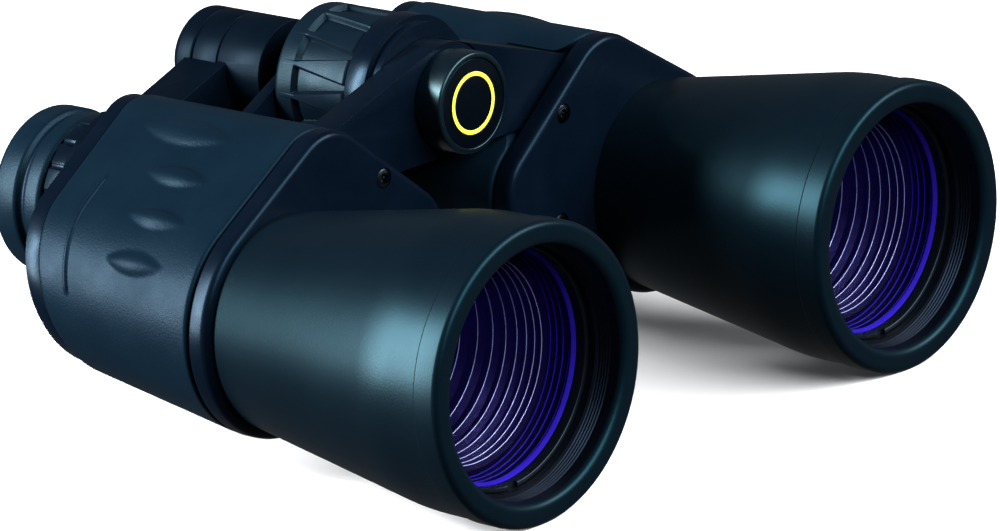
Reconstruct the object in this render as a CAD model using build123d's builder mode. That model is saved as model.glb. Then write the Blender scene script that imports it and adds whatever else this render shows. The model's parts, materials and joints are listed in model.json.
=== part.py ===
"""Porro-prism binoculars with centre focus, a folding hinge and a dioptre ring.

Frame: +Y points forward to the objectives, +X to the user's right and +Z up.
The origin lies under the middle of the object, on the surface that the hoods stand on.
Lengths are in millimetres. A station is a distance behind the front rims, so it grows towards
the eyes. Profiles of round pieces are written as (radius, station). Right-hand pieces are
modelled, and left-hand ones are mirrored about the plane x = 0 unless they differ.
"""
import os
from math import asin, atan2, cos, hypot, pi, radians, sin, sqrt

from build123d import *

# Optical layout: where the axes lie; the prisms shift the light inwards and up
objective_spacing = 122.4
eyepiece_shift = 28.2
eyepiece_rise = 7.5
hinge_rise = 32.7

# Objective hood, lens and baffles
hood_wall = 5.3
hood_bore_depth = 7.4
hood_bore_step = 0.8
lip_outer_round = 1.5
lip_inner_round = 2.4
bead_length = 6.0
bead_step = 0.4
hood_length = 18.3
hood_blend_radius = 60.0
tube_length = 69.6
tube_root_radius = 23.2
tube_wall = 3.4
spigot_radius = 21.4
spigot_length = 2.0
lens_radius = 25.7
lens_rim = 0.9
lens_edge_station = 11.6
lens_front_curve = 150.0
lens_joint_curve = 100.0
lens_back_curve = 300.0
crown_edge = 1.8
flint_edge = 3.8
lens_seat = 1.8
ring_step = 0.2
ring_length = 2.4
ring_notch_width = 3.0
ring_notch_depth = 0.9
sleeve_front_gap = 0.6
sleeve_rear_gap = 1.0
baffle_wall = 0.8
baffle_ridge_height = 1.1
baffle_ridges = 9
baffle_crest_share = 0.3

# Prism housing: three lobes (outwards from the objective axis, height above it, radius) at each end
front_lobes = ((0.0, 0.0, 25.3), (-16.0, 24.6, 12.6), (-38.5, 7.1, 12.2))
rear_lobes = ((4.8, 5.5, 19.9), (-16.0, 24.6, 12.6), (-38.5, 7.1, 12.2))
lobe_run = 52.3
taper_overrun = 30.0
plate_band = 4.9
plate_skin = 2.0
plate_wall = 3.6
plate_edge_round = 1.5
armour_groove = 0.8
armour_thickness = 1.8
housing_wall = 2.2
rear_slant = 13.8
cover_setback = 2.0
cover_thickness = 6.3
cover_edge_bevel = 2.4
cover_inset = 0.4

# Finger bumps on the armour: (outwards from the objective axis, height above it, set-back from the
# armour's front, length)
finger_bumps = (
    (-7.4, 34.0, 27.5, 26.0),
    (3.1, 28.2, 21.1, 17.5),
    (13.4, 22.1, 17.7, 16.0),
    (21.4, 14.3, 17.3, 16.0),
)
bump_width = 5.0
bump_height = 1.3

# Prisms and their shelf
prism_width = 17.0
prism_trim = 3.0
prism_gap = 0.9
shelf_thickness = 1.5
shelf_hole_radius = 7.5
clip_width = 5.0
clip_thickness = 0.5

# Hinge: roots are (outwards from the objective axis, height above it, radius)
axle_radius = 6.0
spindle_radius = 4.5
spindle_inset = 4.0
lug_setback = 2.0
arm_radius = 12.4
arm_root = (-23.2, 27.0, 6.5)
arm_thickness = 7.0
knuckle_lip_radius = 15.7
knuckle_lip_length = 2.4
knuckle_radius = 17.0
knuckle_length = 7.8
rear_lug_radius = 8.0
rear_lug_root = (-31.2, 20.5, 5.0)
rear_lug_inset = 5.2
rear_lug_thickness = 3.0
hinge_cap_radius = 11.2
hinge_cap_height = 7.0
hinge_cap_round = 1.0
cap_disc_radius = 9.8
cap_disc_depth = 0.6
cap_face = 1.8

# Focus wheel
wheel_radius = 16.5
wheel_collar = 5.0
wheel_groove = 1.3
wheel_lands = 14
land_front_width = 6.2
land_rear_width = 1.2
focus_travel_in = 1.5

# Ocular bridge and eyepieces
hub_radius = 11.2
hub_gap = 1.2
right_hub_length = 12.6
left_hub_length = 7.2
dome_wall = 4.5
dome_rise = 6.0
strap_elbow = (-35.2, 20.0, 9.5)
strap_hub_radius = 6.3
strap_depth = 12.0
eyepiece_ring_radius = 22.0
guide_wall = 1.5
guide_projection = 4.7
barrel_radius = 13.0
barrel_wall = 1.6
nose_radius = 11.4
nose_length = 4.5
nose_wall = 1.4
dioptre_ring_radius = 19.4
dioptre_ring_length = 6.0
dioptre_travel = 1.5
dioptre_notches = 20
dioptre_notch_radius = 0.9
cell_wall = 1.6
cell_insert = 11.0
cell_flange_length = 6.8
cell_shoulder = 1.0
eyecup_length = 14.2
eyecup_radius = 18.7
eyecup_band_step = 0.5
eyecup_groove = 1.3
eyecup_front_band = 6.1
eyecup_wall = 3.5
eyecup_sleeve = 4.3
eyecup_floor = 1.0
eyecup_floor_margin = 2.8
eyecup_lip = 3.0
eyecup_lip_flat = 0.8
eye_lens_radius = 9.2
eye_lens_edge = 3.0
eye_lens_curve = 28.0
field_lens_edge = 2.0
field_lens_curve = 40.0

# Screws: spots are (outwards from the objective axis, height above it)
screw_head_radius = 2.1
screw_head_height = 1.2
screw_shank_radius = 1.25
screw_boss_radius = 3.3
plate_screw_spots = ((-31.9, 23.2), (-34.2, -1.0))
cover_screw_spots = ((-14.2, 26.0), (12.8, 6.0))

# Clearances
running = 0.05
seat = 0.02
loose = 0.1
face_gap = 0.3
sweep_gap = 0.4

# Places worked out from the sizes above
lens_clear_radius = lens_radius - lens_rim
ring_radius = lens_radius + ring_step
hood_bore_radius = ring_radius + hood_bore_step
rim_radius = hood_bore_radius + hood_wall

objective_x = objective_spacing / 2
eyepiece_x = objective_x - eyepiece_shift
objective_z = rim_radius
eyepiece_z = objective_z + eyepiece_rise
hinge_z = objective_z + hinge_rise

eyecup_mouth_radius = eyecup_radius - eyecup_wall
eyecup_floor_radius = eye_lens_radius + eyecup_floor_margin
cell_flange_radius = eyecup_radius - eyecup_sleeve

prism_size = hypot(eyepiece_shift, eyepiece_rise) / sqrt(2)
shift_angle = atan2(eyepiece_rise, -eyepiece_shift)
rear_prism_angle = shift_angle - pi / 4
front_prism_angle = shift_angle + pi / 4
middle_x = objective_x + prism_size * cos(rear_prism_angle)
middle_z = objective_z + prism_size * sin(rear_prism_angle)

plate_front = tube_length
housing_front = plate_front + plate_band
armour_front = housing_front + armour_groove
shelf_front = plate_front + plate_skin + prism_gap + prism_size
shelf_rear = shelf_front + shelf_thickness
rear_roof = shelf_rear + prism_size
rear_edge = rear_roof + prism_gap + cover_setback
taper_end = rear_edge + taper_overrun

arm_front = housing_front + lug_setback
arm_rear = arm_front + arm_thickness
knuckle_front = arm_rear + face_gap
knuckle_rear = knuckle_front + knuckle_length
wheel_front = knuckle_rear + face_gap
right_lug_front = rear_edge - rear_lug_inset
wheel_rear = right_lug_front - face_gap
left_lug_front = right_lug_front + rear_lug_thickness + face_gap
axle_rear = left_lug_front + rear_lug_thickness
cap_rear = arm_front - face_gap
cap_front = cap_rear - hinge_cap_height
axle_front = cap_front + cap_face

guide_rear = rear_edge + cover_thickness + guide_projection
strap_front = guide_rear + focus_travel_in + hub_gap
strap_rear = strap_front + strap_depth
right_hub_front = axle_rear + focus_travel_in + hub_gap
right_hub_rear = right_hub_front + right_hub_length
left_hub_front = right_hub_rear + face_gap
left_hub_rear = left_hub_front + left_hub_length
dome_front = left_hub_rear + face_gap
spindle_rear = dome_front + dome_wall
spindle_front = wheel_front + spindle_inset
ring_front = strap_rear + face_gap
ring_rear = ring_front + dioptre_ring_length
barrel_front = rear_roof + prism_gap + focus_travel_in
eyecup_front = ring_rear + dioptre_travel + sweep_gap
eyecup_rear = eyecup_front + eyecup_length
eye_lens_station = eyecup_front + cell_flange_length
overall_length = eyecup_rear
front_y = overall_length / 2

hinge_axis = Axis((0, 0, hinge_z), (0, 1, 0))


def place(x, station, z):
    """Point at a station behind the front rims."""
    return (x, front_y - station, z)


def section(station):
    """Cross-section plane, with X to the right, Z up and the normal towards the eyes."""
    return Plane(origin=place(0, station, 0), x_dir=(1, 0, 0), z_dir=(0, -1, 0))


def slanted(setback):
    """Slanted plane behind the housing, set back along Y from the housing's rear edge."""
    tilt = radians(rear_slant)
    return Plane(
        origin=place(0, rear_edge + setback, eyepiece_z),
        x_dir=(1, 0, 0),
        z_dir=(0, -cos(tilt), -sin(tilt)),
    )


def lathe(x, z):
    """Plane for turned profiles about an axis along Y: local X is radius, local Y is station."""
    return Plane(origin=place(x, 0, z), x_dir=(1, 0, 0), z_dir=(0, 0, -1))


def along_y(x, z):
    """Axis of a turned piece."""
    return Axis(place(x, 0, z), (0, -1, 0))


def sag(curve, radius):
    """Depth of a spherical lens face at a radius."""
    return curve - sqrt(curve * curve - radius * radius)


def rim_drop(curve, outer, inner):
    """How far a convex lens face rises from its edge to a smaller radius."""
    return sag(curve, outer) - sag(curve, inner)


def hull_lines(circles):
    """Draw the tight band round circles given anticlockwise as (x, z, radius)."""
    normals = []
    for (x0, z0, r0), (x1, z1, r1) in zip(circles, circles[1:] + circles[:1]):
        heading = atan2(z1 - z0, x1 - x0)
        normals.append(heading - pi / 2 + asin((r0 - r1) / hypot(x1 - x0, z1 - z0)))
    count = len(circles)
    for i, (x, z, r) in enumerate(circles):
        x1, z1, r1 = circles[(i + 1) % count]
        arrive = normals[i - 1]
        leave = normals[i]
        middle = arrive + ((leave - arrive) % (2 * pi)) / 2
        ends = [(x + r * cos(a), z + r * sin(a)) for a in (arrive, middle, leave)]
        ThreePointArc(*ends)
        Line(ends[2], (x1 + r1 * cos(leave), z1 + r1 * sin(leave)))


def band(plane, circles):
    """Face inside the tight band round circles."""
    with BuildSketch(plane) as face:
        with BuildLine():
            hull_lines(list(circles))
        make_face()
    return face.sketch


def lobes(station, inset):
    """The housing's three lobes at a station, drawn in by an inset."""
    share = (station - housing_front) / lobe_run
    circles = []
    for front, rear in zip(front_lobes, rear_lobes):
        out, rise, radius = (a + (b - a) * share for a, b in zip(front, rear))
        circles.append((objective_x + out, objective_z + rise, radius - inset))
    return circles


def body_form(inset, front, rear_plane=None):
    """Tapered housing form from a cross-section to a rear plane, or on past the rear edge."""
    with BuildPart() as form:
        loft([band(section(s), lobes(s, inset)) for s in (housing_front, taper_end)], ruled=True)
        if front > housing_front:
            split(bisect_by=section(front), keep=Keep.TOP)
        if rear_plane:
            split(bisect_by=rear_plane, keep=Keep.BOTTOM)
    return form.part


def hinge_arm(front, rear, radius, root, grow=0.0):
    """Flat arm from the hinge axis into the housing between two stations."""
    out, rise, root_radius = root
    circles = [
        (0, hinge_z, radius + grow),
        (objective_x + out, objective_z + rise, root_radius + grow),
    ]
    with BuildPart() as arm:
        extrude(band(section(front), circles), amount=rear - front)
    return arm.part


def disc(x, z, radius, front, rear):
    """Round bar along Y between two stations."""
    with BuildPart() as bar:
        with BuildSketch(section(front)):
            with Locations((x, z)):
                Circle(radius)
        extrude(amount=rear - front)
    return bar.part


def flipped(piece):
    """Left-hand twin of a right-hand piece."""
    with BuildPart() as twin:
        mirror(piece, about=Plane.YZ)
    return twin.part


def save(piece, name):
    """Label a piece and write it under its name."""
    piece.label = name
    export_step(piece, f"parts/{name}.step")


def save_pair(piece, name):
    """Write a right-hand piece and its mirrored twin."""
    save(piece, f"right_{name}")
    save(flipped(piece), f"left_{name}")


os.makedirs("parts", exist_ok=True)

# Objective tube: hood with a rounded bead, lens seat, cone and spigot
crown_rear = lens_edge_station + crown_edge
flint_front = crown_rear + seat
flint_rear = flint_front + flint_edge
seat_radius = lens_radius - lens_seat
lens_seat_station = flint_rear + seat + rim_drop(lens_back_curve, lens_radius, seat_radius)
tube_end = tube_length + spigot_length
bore_root = tube_root_radius - tube_wall
hood_radius = rim_radius - bead_step
objective_axis = along_y(objective_x, objective_z)
with BuildPart() as objective_tube:
    with BuildSketch(lathe(objective_x, objective_z)) as tube_profile:
        with BuildLine():
            Polyline(
                (hood_bore_radius, 0),
                (rim_radius, 0),
                (rim_radius, bead_length),
                (hood_radius, bead_length + bead_step),
                (hood_radius, hood_length),
                (tube_root_radius, tube_length),
                (spigot_radius, tube_length),
                (spigot_radius, tube_end),
                (bore_root, tube_end),
                (seat_radius, lens_seat_station),
                (lens_radius + running, lens_seat_station),
                (lens_radius + running, lens_edge_station),
                (ring_radius + running, lens_edge_station),
                (ring_radius + running, hood_bore_depth),
                (hood_bore_radius, hood_bore_depth),
                close=True,
            )
        make_face()
        for corner, corner_round in (
            ((hood_radius, hood_length), hood_blend_radius),
            ((rim_radius, 0), lip_outer_round),
            ((hood_bore_radius, 0), lip_inner_round),
        ):
            fillet(tube_profile.vertices().sort_by_distance(corner)[0], corner_round)
    revolve(axis=objective_axis)
save_pair(objective_tube.part, "objective_tube")

# Cemented doublet: convex crown in front, flint behind
half_lens = lens_radius / 2
with BuildPart() as objective_crown:
    with BuildSketch(lathe(objective_x, objective_z)):
        with BuildLine():
            front_depth = sag(lens_front_curve, lens_radius)
            joint_depth = sag(lens_joint_curve, lens_radius)
            ThreePointArc(
                (0, lens_edge_station - front_depth),
                (half_lens, lens_edge_station - front_depth + sag(lens_front_curve, half_lens)),
                (lens_radius, lens_edge_station),
            )
            Line((lens_radius, lens_edge_station), (lens_radius, crown_rear))
            ThreePointArc(
                (lens_radius, crown_rear),
                (half_lens, crown_rear + joint_depth - sag(lens_joint_curve, half_lens)),
                (0, crown_rear + joint_depth),
            )
            Line((0, crown_rear + joint_depth), (0, lens_edge_station - front_depth))
        make_face()
    revolve(axis=objective_axis)
save_pair(objective_crown.part, "objective_crown")

with BuildPart() as objective_flint:
    with BuildSketch(lathe(objective_x, objective_z)):
        with BuildLine():
            back_depth = sag(lens_back_curve, lens_radius)
            ThreePointArc(
                (0, flint_front + joint_depth),
                (half_lens, flint_front + joint_depth - sag(lens_joint_curve, half_lens)),
                (lens_radius, flint_front),
            )
            Line((lens_radius, flint_front), (lens_radius, flint_rear))
            ThreePointArc(
                (lens_radius, flint_rear),
                (half_lens, flint_rear + back_depth - sag(lens_back_curve, half_lens)),
                (0, flint_rear + back_depth),
            )
            Line((0, flint_rear + back_depth), (0, flint_front + joint_depth))
        make_face()
    revolve(axis=objective_axis)
save_pair(objective_flint.part, "objective_flint")

# Retaining ring, with two notches for a spanner
ring_back = lens_edge_station - seat - rim_drop(lens_front_curve, lens_radius, lens_clear_radius)
ring_station = ring_back - ring_length
with BuildPart() as retaining_ring:
    with BuildSketch(section(ring_station)):
        with Locations((objective_x, objective_z)):
            Circle(ring_radius)
            Circle(lens_clear_radius, mode=Mode.SUBTRACT)
    extrude(amount=ring_length)
    with BuildSketch(section(ring_station)):
        with Locations((objective_x, objective_z)):
            Rectangle(ring_notch_width, 2 * ring_radius)
    extrude(amount=ring_notch_depth, mode=Mode.SUBTRACT)
save_pair(retaining_ring.part, "retaining_ring")

# Baffle sleeve: a thin cone with saw-tooth ridges behind the lens
sleeve_front = lens_seat_station + sleeve_front_gap
sleeve_rear = tube_end - sleeve_rear_gap
cone_slope = (seat_radius - bore_root) / (tube_end - lens_seat_station)


def tube_bore(station):
    """Inner radius of the tube's cone at a station."""
    return bore_root + cone_slope * (tube_end - station)


ridge_pitch = (sleeve_rear - sleeve_front) / baffle_ridges
with BuildPart() as baffle_sleeve:
    with BuildSketch(lathe(objective_x, objective_z)):
        with BuildLine():
            teeth = []
            for ridge in range(baffle_ridges):
                start = sleeve_front + ridge * ridge_pitch
                crest = start + baffle_crest_share * ridge_pitch
                teeth.append((tube_bore(start) - loose - baffle_wall, start))
                teeth.append((tube_bore(crest) - loose - baffle_wall - baffle_ridge_height, crest))
            teeth.append((tube_bore(sleeve_rear) - loose - baffle_wall, sleeve_rear))
            Polyline(
                *teeth,
                (tube_bore(sleeve_rear) - loose, sleeve_rear),
                (tube_bore(sleeve_front) - loose, sleeve_front),
                close=True,
            )
        make_face()
    revolve(axis=objective_axis)
save_pair(baffle_sleeve.part, "baffle_sleeve")

# Front plate: a shallow cap that holds the tube, with bosses for its screws
screw_spots = [(objective_x + out, objective_z + rise) for out, rise in plate_screw_spots]
with BuildPart() as front_plate:
    extrude(band(section(plate_front), lobes(housing_front, 0)), amount=plate_band)
    fillet(front_plate.faces().sort_by(Axis.Y)[-1].edges(), plate_edge_round)
    extrude(
        band(section(plate_front + plate_skin), lobes(housing_front, plate_wall)),
        amount=plate_band,
        mode=Mode.SUBTRACT,
    )
    with BuildSketch(section(plate_front + plate_skin)):
        with Locations(*screw_spots):
            Circle(screw_boss_radius)
    extrude(amount=plate_band - plate_skin)
    with BuildSketch(section(plate_front)):
        with Locations((objective_x, objective_z)):
            Circle(spigot_radius + seat)
    extrude(amount=plate_band, mode=Mode.SUBTRACT)
    with BuildSketch(section(plate_front)):
        with Locations(*screw_spots):
            Circle(screw_shank_radius + running)
    extrude(amount=plate_band, mode=Mode.SUBTRACT)
    with BuildSketch(section(plate_front)):
        with Locations(*screw_spots):
            Circle(screw_head_radius + loose)
    extrude(amount=screw_head_height, mode=Mode.SUBTRACT)
save_pair(front_plate.part, "front_plate")

with BuildPart() as plate_screws:
    with BuildSketch(section(plate_front)):
        with Locations(*screw_spots):
            Circle(screw_head_radius)
    extrude(amount=screw_head_height)
    with BuildSketch(section(plate_front + screw_head_height)):
        with Locations(*screw_spots):
            Circle(screw_shank_radius)
    extrude(amount=plate_band - screw_head_height)
save_pair(plate_screws.part, "plate_screws")

# Prism housings: a tapered shell with its own hinge arms on each side
housing_inset = armour_thickness + loose
cavity_inset = housing_inset + housing_wall
cavity = body_form(cavity_inset, housing_front)
housing_shell = body_form(housing_inset, housing_front, slanted(0))
right_front_arm = hinge_arm(arm_front, arm_rear, arm_radius, arm_root)
right_rear_arm = hinge_arm(
    right_lug_front, right_lug_front + rear_lug_thickness, rear_lug_radius, rear_lug_root
)
left_front_arm = flipped(hinge_arm(arm_front, knuckle_rear, arm_radius, arm_root))
left_rear_arm = flipped(hinge_arm(left_lug_front, axle_rear, rear_lug_radius, rear_lug_root))
axle_hole = disc(0, hinge_z, axle_radius + running, 0, overall_length)
room_front = barrel_front - focus_travel_in - face_gap
with BuildPart() as barrel_room:
    add(disc(eyepiece_x, eyepiece_z, barrel_radius + sweep_gap, room_front, overall_length))
    add(disc(eyepiece_x, eyepiece_z, nose_radius + sweep_gap, room_front - nose_length, room_front))

with BuildPart() as right_housing:
    add(housing_shell)
    add([right_front_arm, right_rear_arm])
    add([cavity, axle_hole, barrel_room.part], mode=Mode.SUBTRACT)
save(right_housing.part, "right_prism_housing")

with BuildPart() as left_housing:
    add(flipped(housing_shell))
    add([left_front_arm, left_rear_arm])
    add(
        disc(0, hinge_z, arm_radius + sweep_gap, arm_front - face_gap, knuckle_front),
        mode=Mode.SUBTRACT,
    )
    lip_rear = knuckle_front + knuckle_lip_length
    add(disc(0, hinge_z, knuckle_lip_radius, knuckle_front, lip_rear))
    add(disc(0, hinge_z, knuckle_radius, lip_rear, knuckle_rear))
    add([flipped(cavity), axle_hole, flipped(barrel_room.part)], mode=Mode.SUBTRACT)
save(left_housing.part, "left_prism_housing")

# Rubber armour: a tapered sleeve with finger bumps, cut out round the hinge arms
bump_radius = (bump_width * bump_width / 4 + bump_height * bump_height) / (2 * bump_height)
bump_sink = bump_radius - bump_height


def finger_bump(out, rise, setback, length):
    """Long lens-shaped bump whose foot lies on the armour at the given point."""
    x = objective_x + out
    station = armour_front + setback
    lobe_x, lobe_z, _ = lobes(station, 0)[0]
    lean = atan2(objective_z + rise - lobe_z, x - lobe_x)
    half = length / 2 * sqrt(bump_radius / bump_height)
    arc = (half * half + bump_radius * bump_radius) / (2 * bump_radius)
    centre = place(x - bump_sink * cos(lean), station, objective_z + rise - bump_sink * sin(lean))
    with BuildPart() as bump:
        with BuildSketch(Plane(origin=centre, x_dir=(0, 1, 0), z_dir=(1, 0, 0))):
            with BuildLine():
                RadiusArc((-half, 0), (half, 0), arc)
                Line((half, 0), (-half, 0))
            make_face()
        revolve(axis=Axis(centre, (0, 1, 0)))
    return bump.part


armour_core = body_form(armour_thickness, housing_front)
with BuildPart() as armour_sleeve:
    add(body_form(0, armour_front, slanted(0)))
    add([finger_bump(*spot) for spot in finger_bumps])
    add(armour_core, mode=Mode.SUBTRACT)

with BuildPart() as right_armour:
    add(armour_sleeve.part)
    add(hinge_arm(0, arm_rear + face_gap, arm_radius, arm_root, face_gap), mode=Mode.SUBTRACT)
    right_lug_rear = right_lug_front + rear_lug_thickness
    add(
        hinge_arm(right_lug_front - face_gap, right_lug_rear + face_gap, rear_lug_radius,
                  rear_lug_root, face_gap),
        mode=Mode.SUBTRACT,
    )
save(right_armour.part, "right_armour")

with BuildPart() as left_armour:
    add(flipped(armour_sleeve.part))
    add(
        flipped(hinge_arm(0, knuckle_rear + face_gap, arm_radius, arm_root, face_gap)),
        mode=Mode.SUBTRACT,
    )
    add(
        flipped(hinge_arm(left_lug_front - face_gap, axle_rear + face_gap, rear_lug_radius,
                          rear_lug_root, face_gap)),
        mode=Mode.SUBTRACT,
    )
save(left_armour.part, "left_armour")

# Rear cover with the guide tube that the eyepiece slides in
guide_radius = barrel_radius + running
boss_radius = guide_radius + guide_wall
rear_axis = Axis(slanted(0).origin, slanted(0).z_dir)
cover_spots = [
    slanted(cover_thickness).to_local_coords(place(objective_x + out, rear_edge, objective_z + rise))
    for out, rise in cover_screw_spots
]
cover_screw_xy = [(spot[0], spot[1]) for spot in (tuple(p) for p in cover_spots)]
with BuildPart() as rear_cover:
    add(body_form(cover_inset, housing_front, slanted(cover_thickness)))
    chamfer(rear_cover.faces().sort_by(rear_axis)[-1].edges(), cover_edge_bevel)
    add(disc(eyepiece_x, eyepiece_z, boss_radius, rear_edge - boss_radius, guide_rear))
    split(bisect_by=slanted(seat), keep=Keep.TOP)
    add(disc(eyepiece_x, eyepiece_z, guide_radius, 0, overall_length), mode=Mode.SUBTRACT)
    with BuildSketch(slanted(cover_thickness)):
        with Locations(*cover_screw_xy):
            Circle(screw_head_radius + loose)
    extrude(amount=-screw_head_height, mode=Mode.SUBTRACT)
    with BuildSketch(slanted(cover_thickness)):
        with Locations(*cover_screw_xy):
            Circle(screw_shank_radius + running)
    extrude(amount=-cover_thickness, mode=Mode.SUBTRACT)
save_pair(rear_cover.part, "rear_cover")

with BuildPart() as cover_screws:
    with BuildSketch(slanted(cover_thickness)):
        with Locations(*cover_screw_xy):
            Circle(screw_head_radius)
    extrude(amount=-screw_head_height)
    with BuildSketch(slanted(cover_thickness)):
        with Locations(*cover_screw_xy):
            Circle(screw_shank_radius)
    extrude(amount=-cover_thickness + 2 * seat)
save_pair(cover_screws.part, "cover_screws")

# Prism shelf with a hole for each pass of the light
with BuildPart() as prism_shelf:
    add(body_form(cavity_inset + running, shelf_front, section(shelf_rear)))
    light_spots = ((objective_x, objective_z), (middle_x, middle_z), (eyepiece_x, eyepiece_z))
    with BuildSketch(section(shelf_front)):
        with Locations(*light_spots):
            Circle(shelf_hole_radius)
    extrude(amount=shelf_thickness, mode=Mode.SUBTRACT)
save_pair(prism_shelf.part, "prism_shelf")


def prism_plane(x, z, angle, base, roof_way):
    """Plane of a prism's section: local X along its base, local Y to its roof (1 is rearward)."""
    along = Vector(cos(angle), 0, sin(angle))
    return Plane(
        origin=place(x, base, z), x_dir=along, z_dir=along.cross(Vector(0, -roof_way, 0))
    )


def prism_outline(grow):
    """Corners of a right-angle prism with trimmed ends, grown along its sides."""
    end = prism_size - prism_trim + grow
    rise = prism_trim + grow * (sqrt(2) - 1)
    roof = prism_size + grow * sqrt(2)
    return ((-end, 0), (end, 0), (end, rise), (0, roof), (-end, rise))


def porro_prism(plane):
    """Glass prism standing on its base."""
    with BuildPart() as prism:
        with BuildSketch(plane):
            Polygon(*prism_outline(0), align=None)
        extrude(amount=prism_width / 2, both=True)
    return prism.part


front_plane = prism_plane(
    (middle_x + eyepiece_x) / 2, (middle_z + eyepiece_z) / 2, front_prism_angle, shelf_front - seat, -1
)
rear_plane = prism_plane(
    (objective_x + middle_x) / 2, (objective_z + middle_z) / 2, rear_prism_angle, shelf_rear + seat, 1
)
save_pair(porro_prism(front_plane), "front_prism")
save_pair(porro_prism(rear_plane), "rear_prism")

# Spring clips that strap the prisms to their shelf
with BuildPart() as prism_clips:
    for plane in (front_plane, rear_plane):
        with BuildSketch(plane):
            Polygon(*prism_outline(clip_thickness + seat), align=None)
            Polygon(*prism_outline(seat), align=None, mode=Mode.SUBTRACT)
        extrude(amount=clip_width / 2, both=True)
save_pair(prism_clips.part, "prism_clips")

# Hinge axle, cap and the plain disc let into the cap
with BuildPart() as hinge_axle:
    add(disc(0, hinge_z, axle_radius, axle_front, axle_rear))
    add(disc(0, hinge_z, spindle_radius + running, 0, overall_length), mode=Mode.SUBTRACT)
save(hinge_axle.part, "hinge_axle")

with BuildPart() as hinge_cap:
    add(disc(0, hinge_z, hinge_cap_radius, cap_front, cap_rear))
    fillet(hinge_cap.faces().sort_by(Axis.Y)[-1].edges(), hinge_cap_round)
    add(disc(0, hinge_z, cap_disc_radius + seat, 0, cap_front + cap_disc_depth), mode=Mode.SUBTRACT)
    add(disc(0, hinge_z, axle_radius + seat, axle_front - seat, cap_rear), mode=Mode.SUBTRACT)
save(hinge_cap.part, "hinge_cap")

with BuildPart() as cap_disc:
    add(disc(0, hinge_z, cap_disc_radius, cap_front + loose, cap_front + cap_disc_depth))
save(cap_disc.part, "hinge_cap_disc")

# Focus wheel: smooth collar behind, wedge-shaped lands widening forwards
land_radius = wheel_radius - wheel_groove
land_rear = wheel_rear - wheel_collar
with BuildPart() as wheel_land:
    with BuildSketch(Plane(origin=place(0, land_rear, hinge_z), x_dir=(1, 0, 0), z_dir=(0, 0, 1))):
        land_length = land_rear - wheel_front
        Polygon(
            (-land_rear_width / 2, 0), (land_rear_width / 2, 0),
            (land_front_width / 2, land_length), (-land_front_width / 2, land_length),
            align=None,
        )
    extrude(amount=2 * wheel_radius)
    add(disc(0, hinge_z, wheel_radius, wheel_front, wheel_rear), mode=Mode.INTERSECT)

with BuildPart() as focus_wheel:
    add(disc(0, hinge_z, land_radius, wheel_front, land_rear))
    for land in range(wheel_lands):
        add(wheel_land.part.rotate(hinge_axis, land * 360 / wheel_lands))
    add(disc(0, hinge_z, wheel_radius, land_rear, wheel_rear))
    fillet(focus_wheel.faces().sort_by(Axis.Y)[0].edges(), wheel_groove)
    add(disc(0, hinge_z, axle_radius + running, 0, overall_length), mode=Mode.SUBTRACT)
save(focus_wheel.part, "focus_wheel")

# Focus spindle and the dome that closes the ocular bridge
with BuildPart() as focus_spindle:
    add(disc(0, hinge_z, spindle_radius, spindle_front, spindle_rear))
save(focus_spindle.part, "focus_spindle")

with BuildPart() as bridge_dome:
    with BuildSketch(lathe(0, hinge_z)):
        with BuildLine():
            dome_edge = dome_front + dome_wall
            dome_curve = (hub_radius * hub_radius + dome_rise * dome_rise) / (2 * dome_rise)
            half_hub = hub_radius / 2
            Polyline(
                (0, dome_edge + dome_rise), (0, spindle_rear + seat),
                (spindle_radius + seat, spindle_rear + seat),
                (spindle_radius + seat, dome_front), (hub_radius, dome_front),
                (hub_radius, dome_edge),
            )
            ThreePointArc(
                (hub_radius, dome_edge),
                (half_hub, dome_edge + dome_rise - sag(dome_curve, half_hub)),
                (0, dome_edge + dome_rise),
            )
        make_face()
    revolve(axis=along_y(0, hinge_z))
save(bridge_dome.part, "bridge_dome")


def ocular_arm(hub_front, hub_rear):
    """Right-hand strap from a hub on the hinge axis to a ring round the eyepiece."""
    elbow_out, elbow_rise, elbow_radius = strap_elbow
    elbow = (objective_x + elbow_out, objective_z + elbow_rise, elbow_radius)
    hub = (0, hinge_z, strap_hub_radius)
    ring = (eyepiece_x, eyepiece_z, eyepiece_ring_radius)
    with BuildPart() as arm:
        extrude(band(section(strap_front), [hub, elbow]), amount=strap_depth)
        extrude(band(section(strap_front), [elbow, ring]), amount=strap_depth)
        add(
            disc(0, hinge_z, hub_radius + sweep_gap, 0, overall_length),
            mode=Mode.SUBTRACT,
        )
        neck_front = max(strap_front, hub_front)
        neck_rear = min(strap_rear, hub_rear)
        extrude(band(section(neck_front), [hub, elbow]), amount=neck_rear - neck_front)
        add(disc(0, hinge_z, hub_radius, hub_front, hub_rear))
        add(disc(0, hinge_z, spindle_radius + running, 0, overall_length), mode=Mode.SUBTRACT)
        add(
            disc(eyepiece_x, eyepiece_z, barrel_radius + seat, 0, overall_length),
            mode=Mode.SUBTRACT,
        )
    return arm.part


save(ocular_arm(right_hub_front, right_hub_rear), "right_ocular_arm")
save(flipped(ocular_arm(left_hub_front, left_hub_rear)), "left_ocular_arm")

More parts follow.
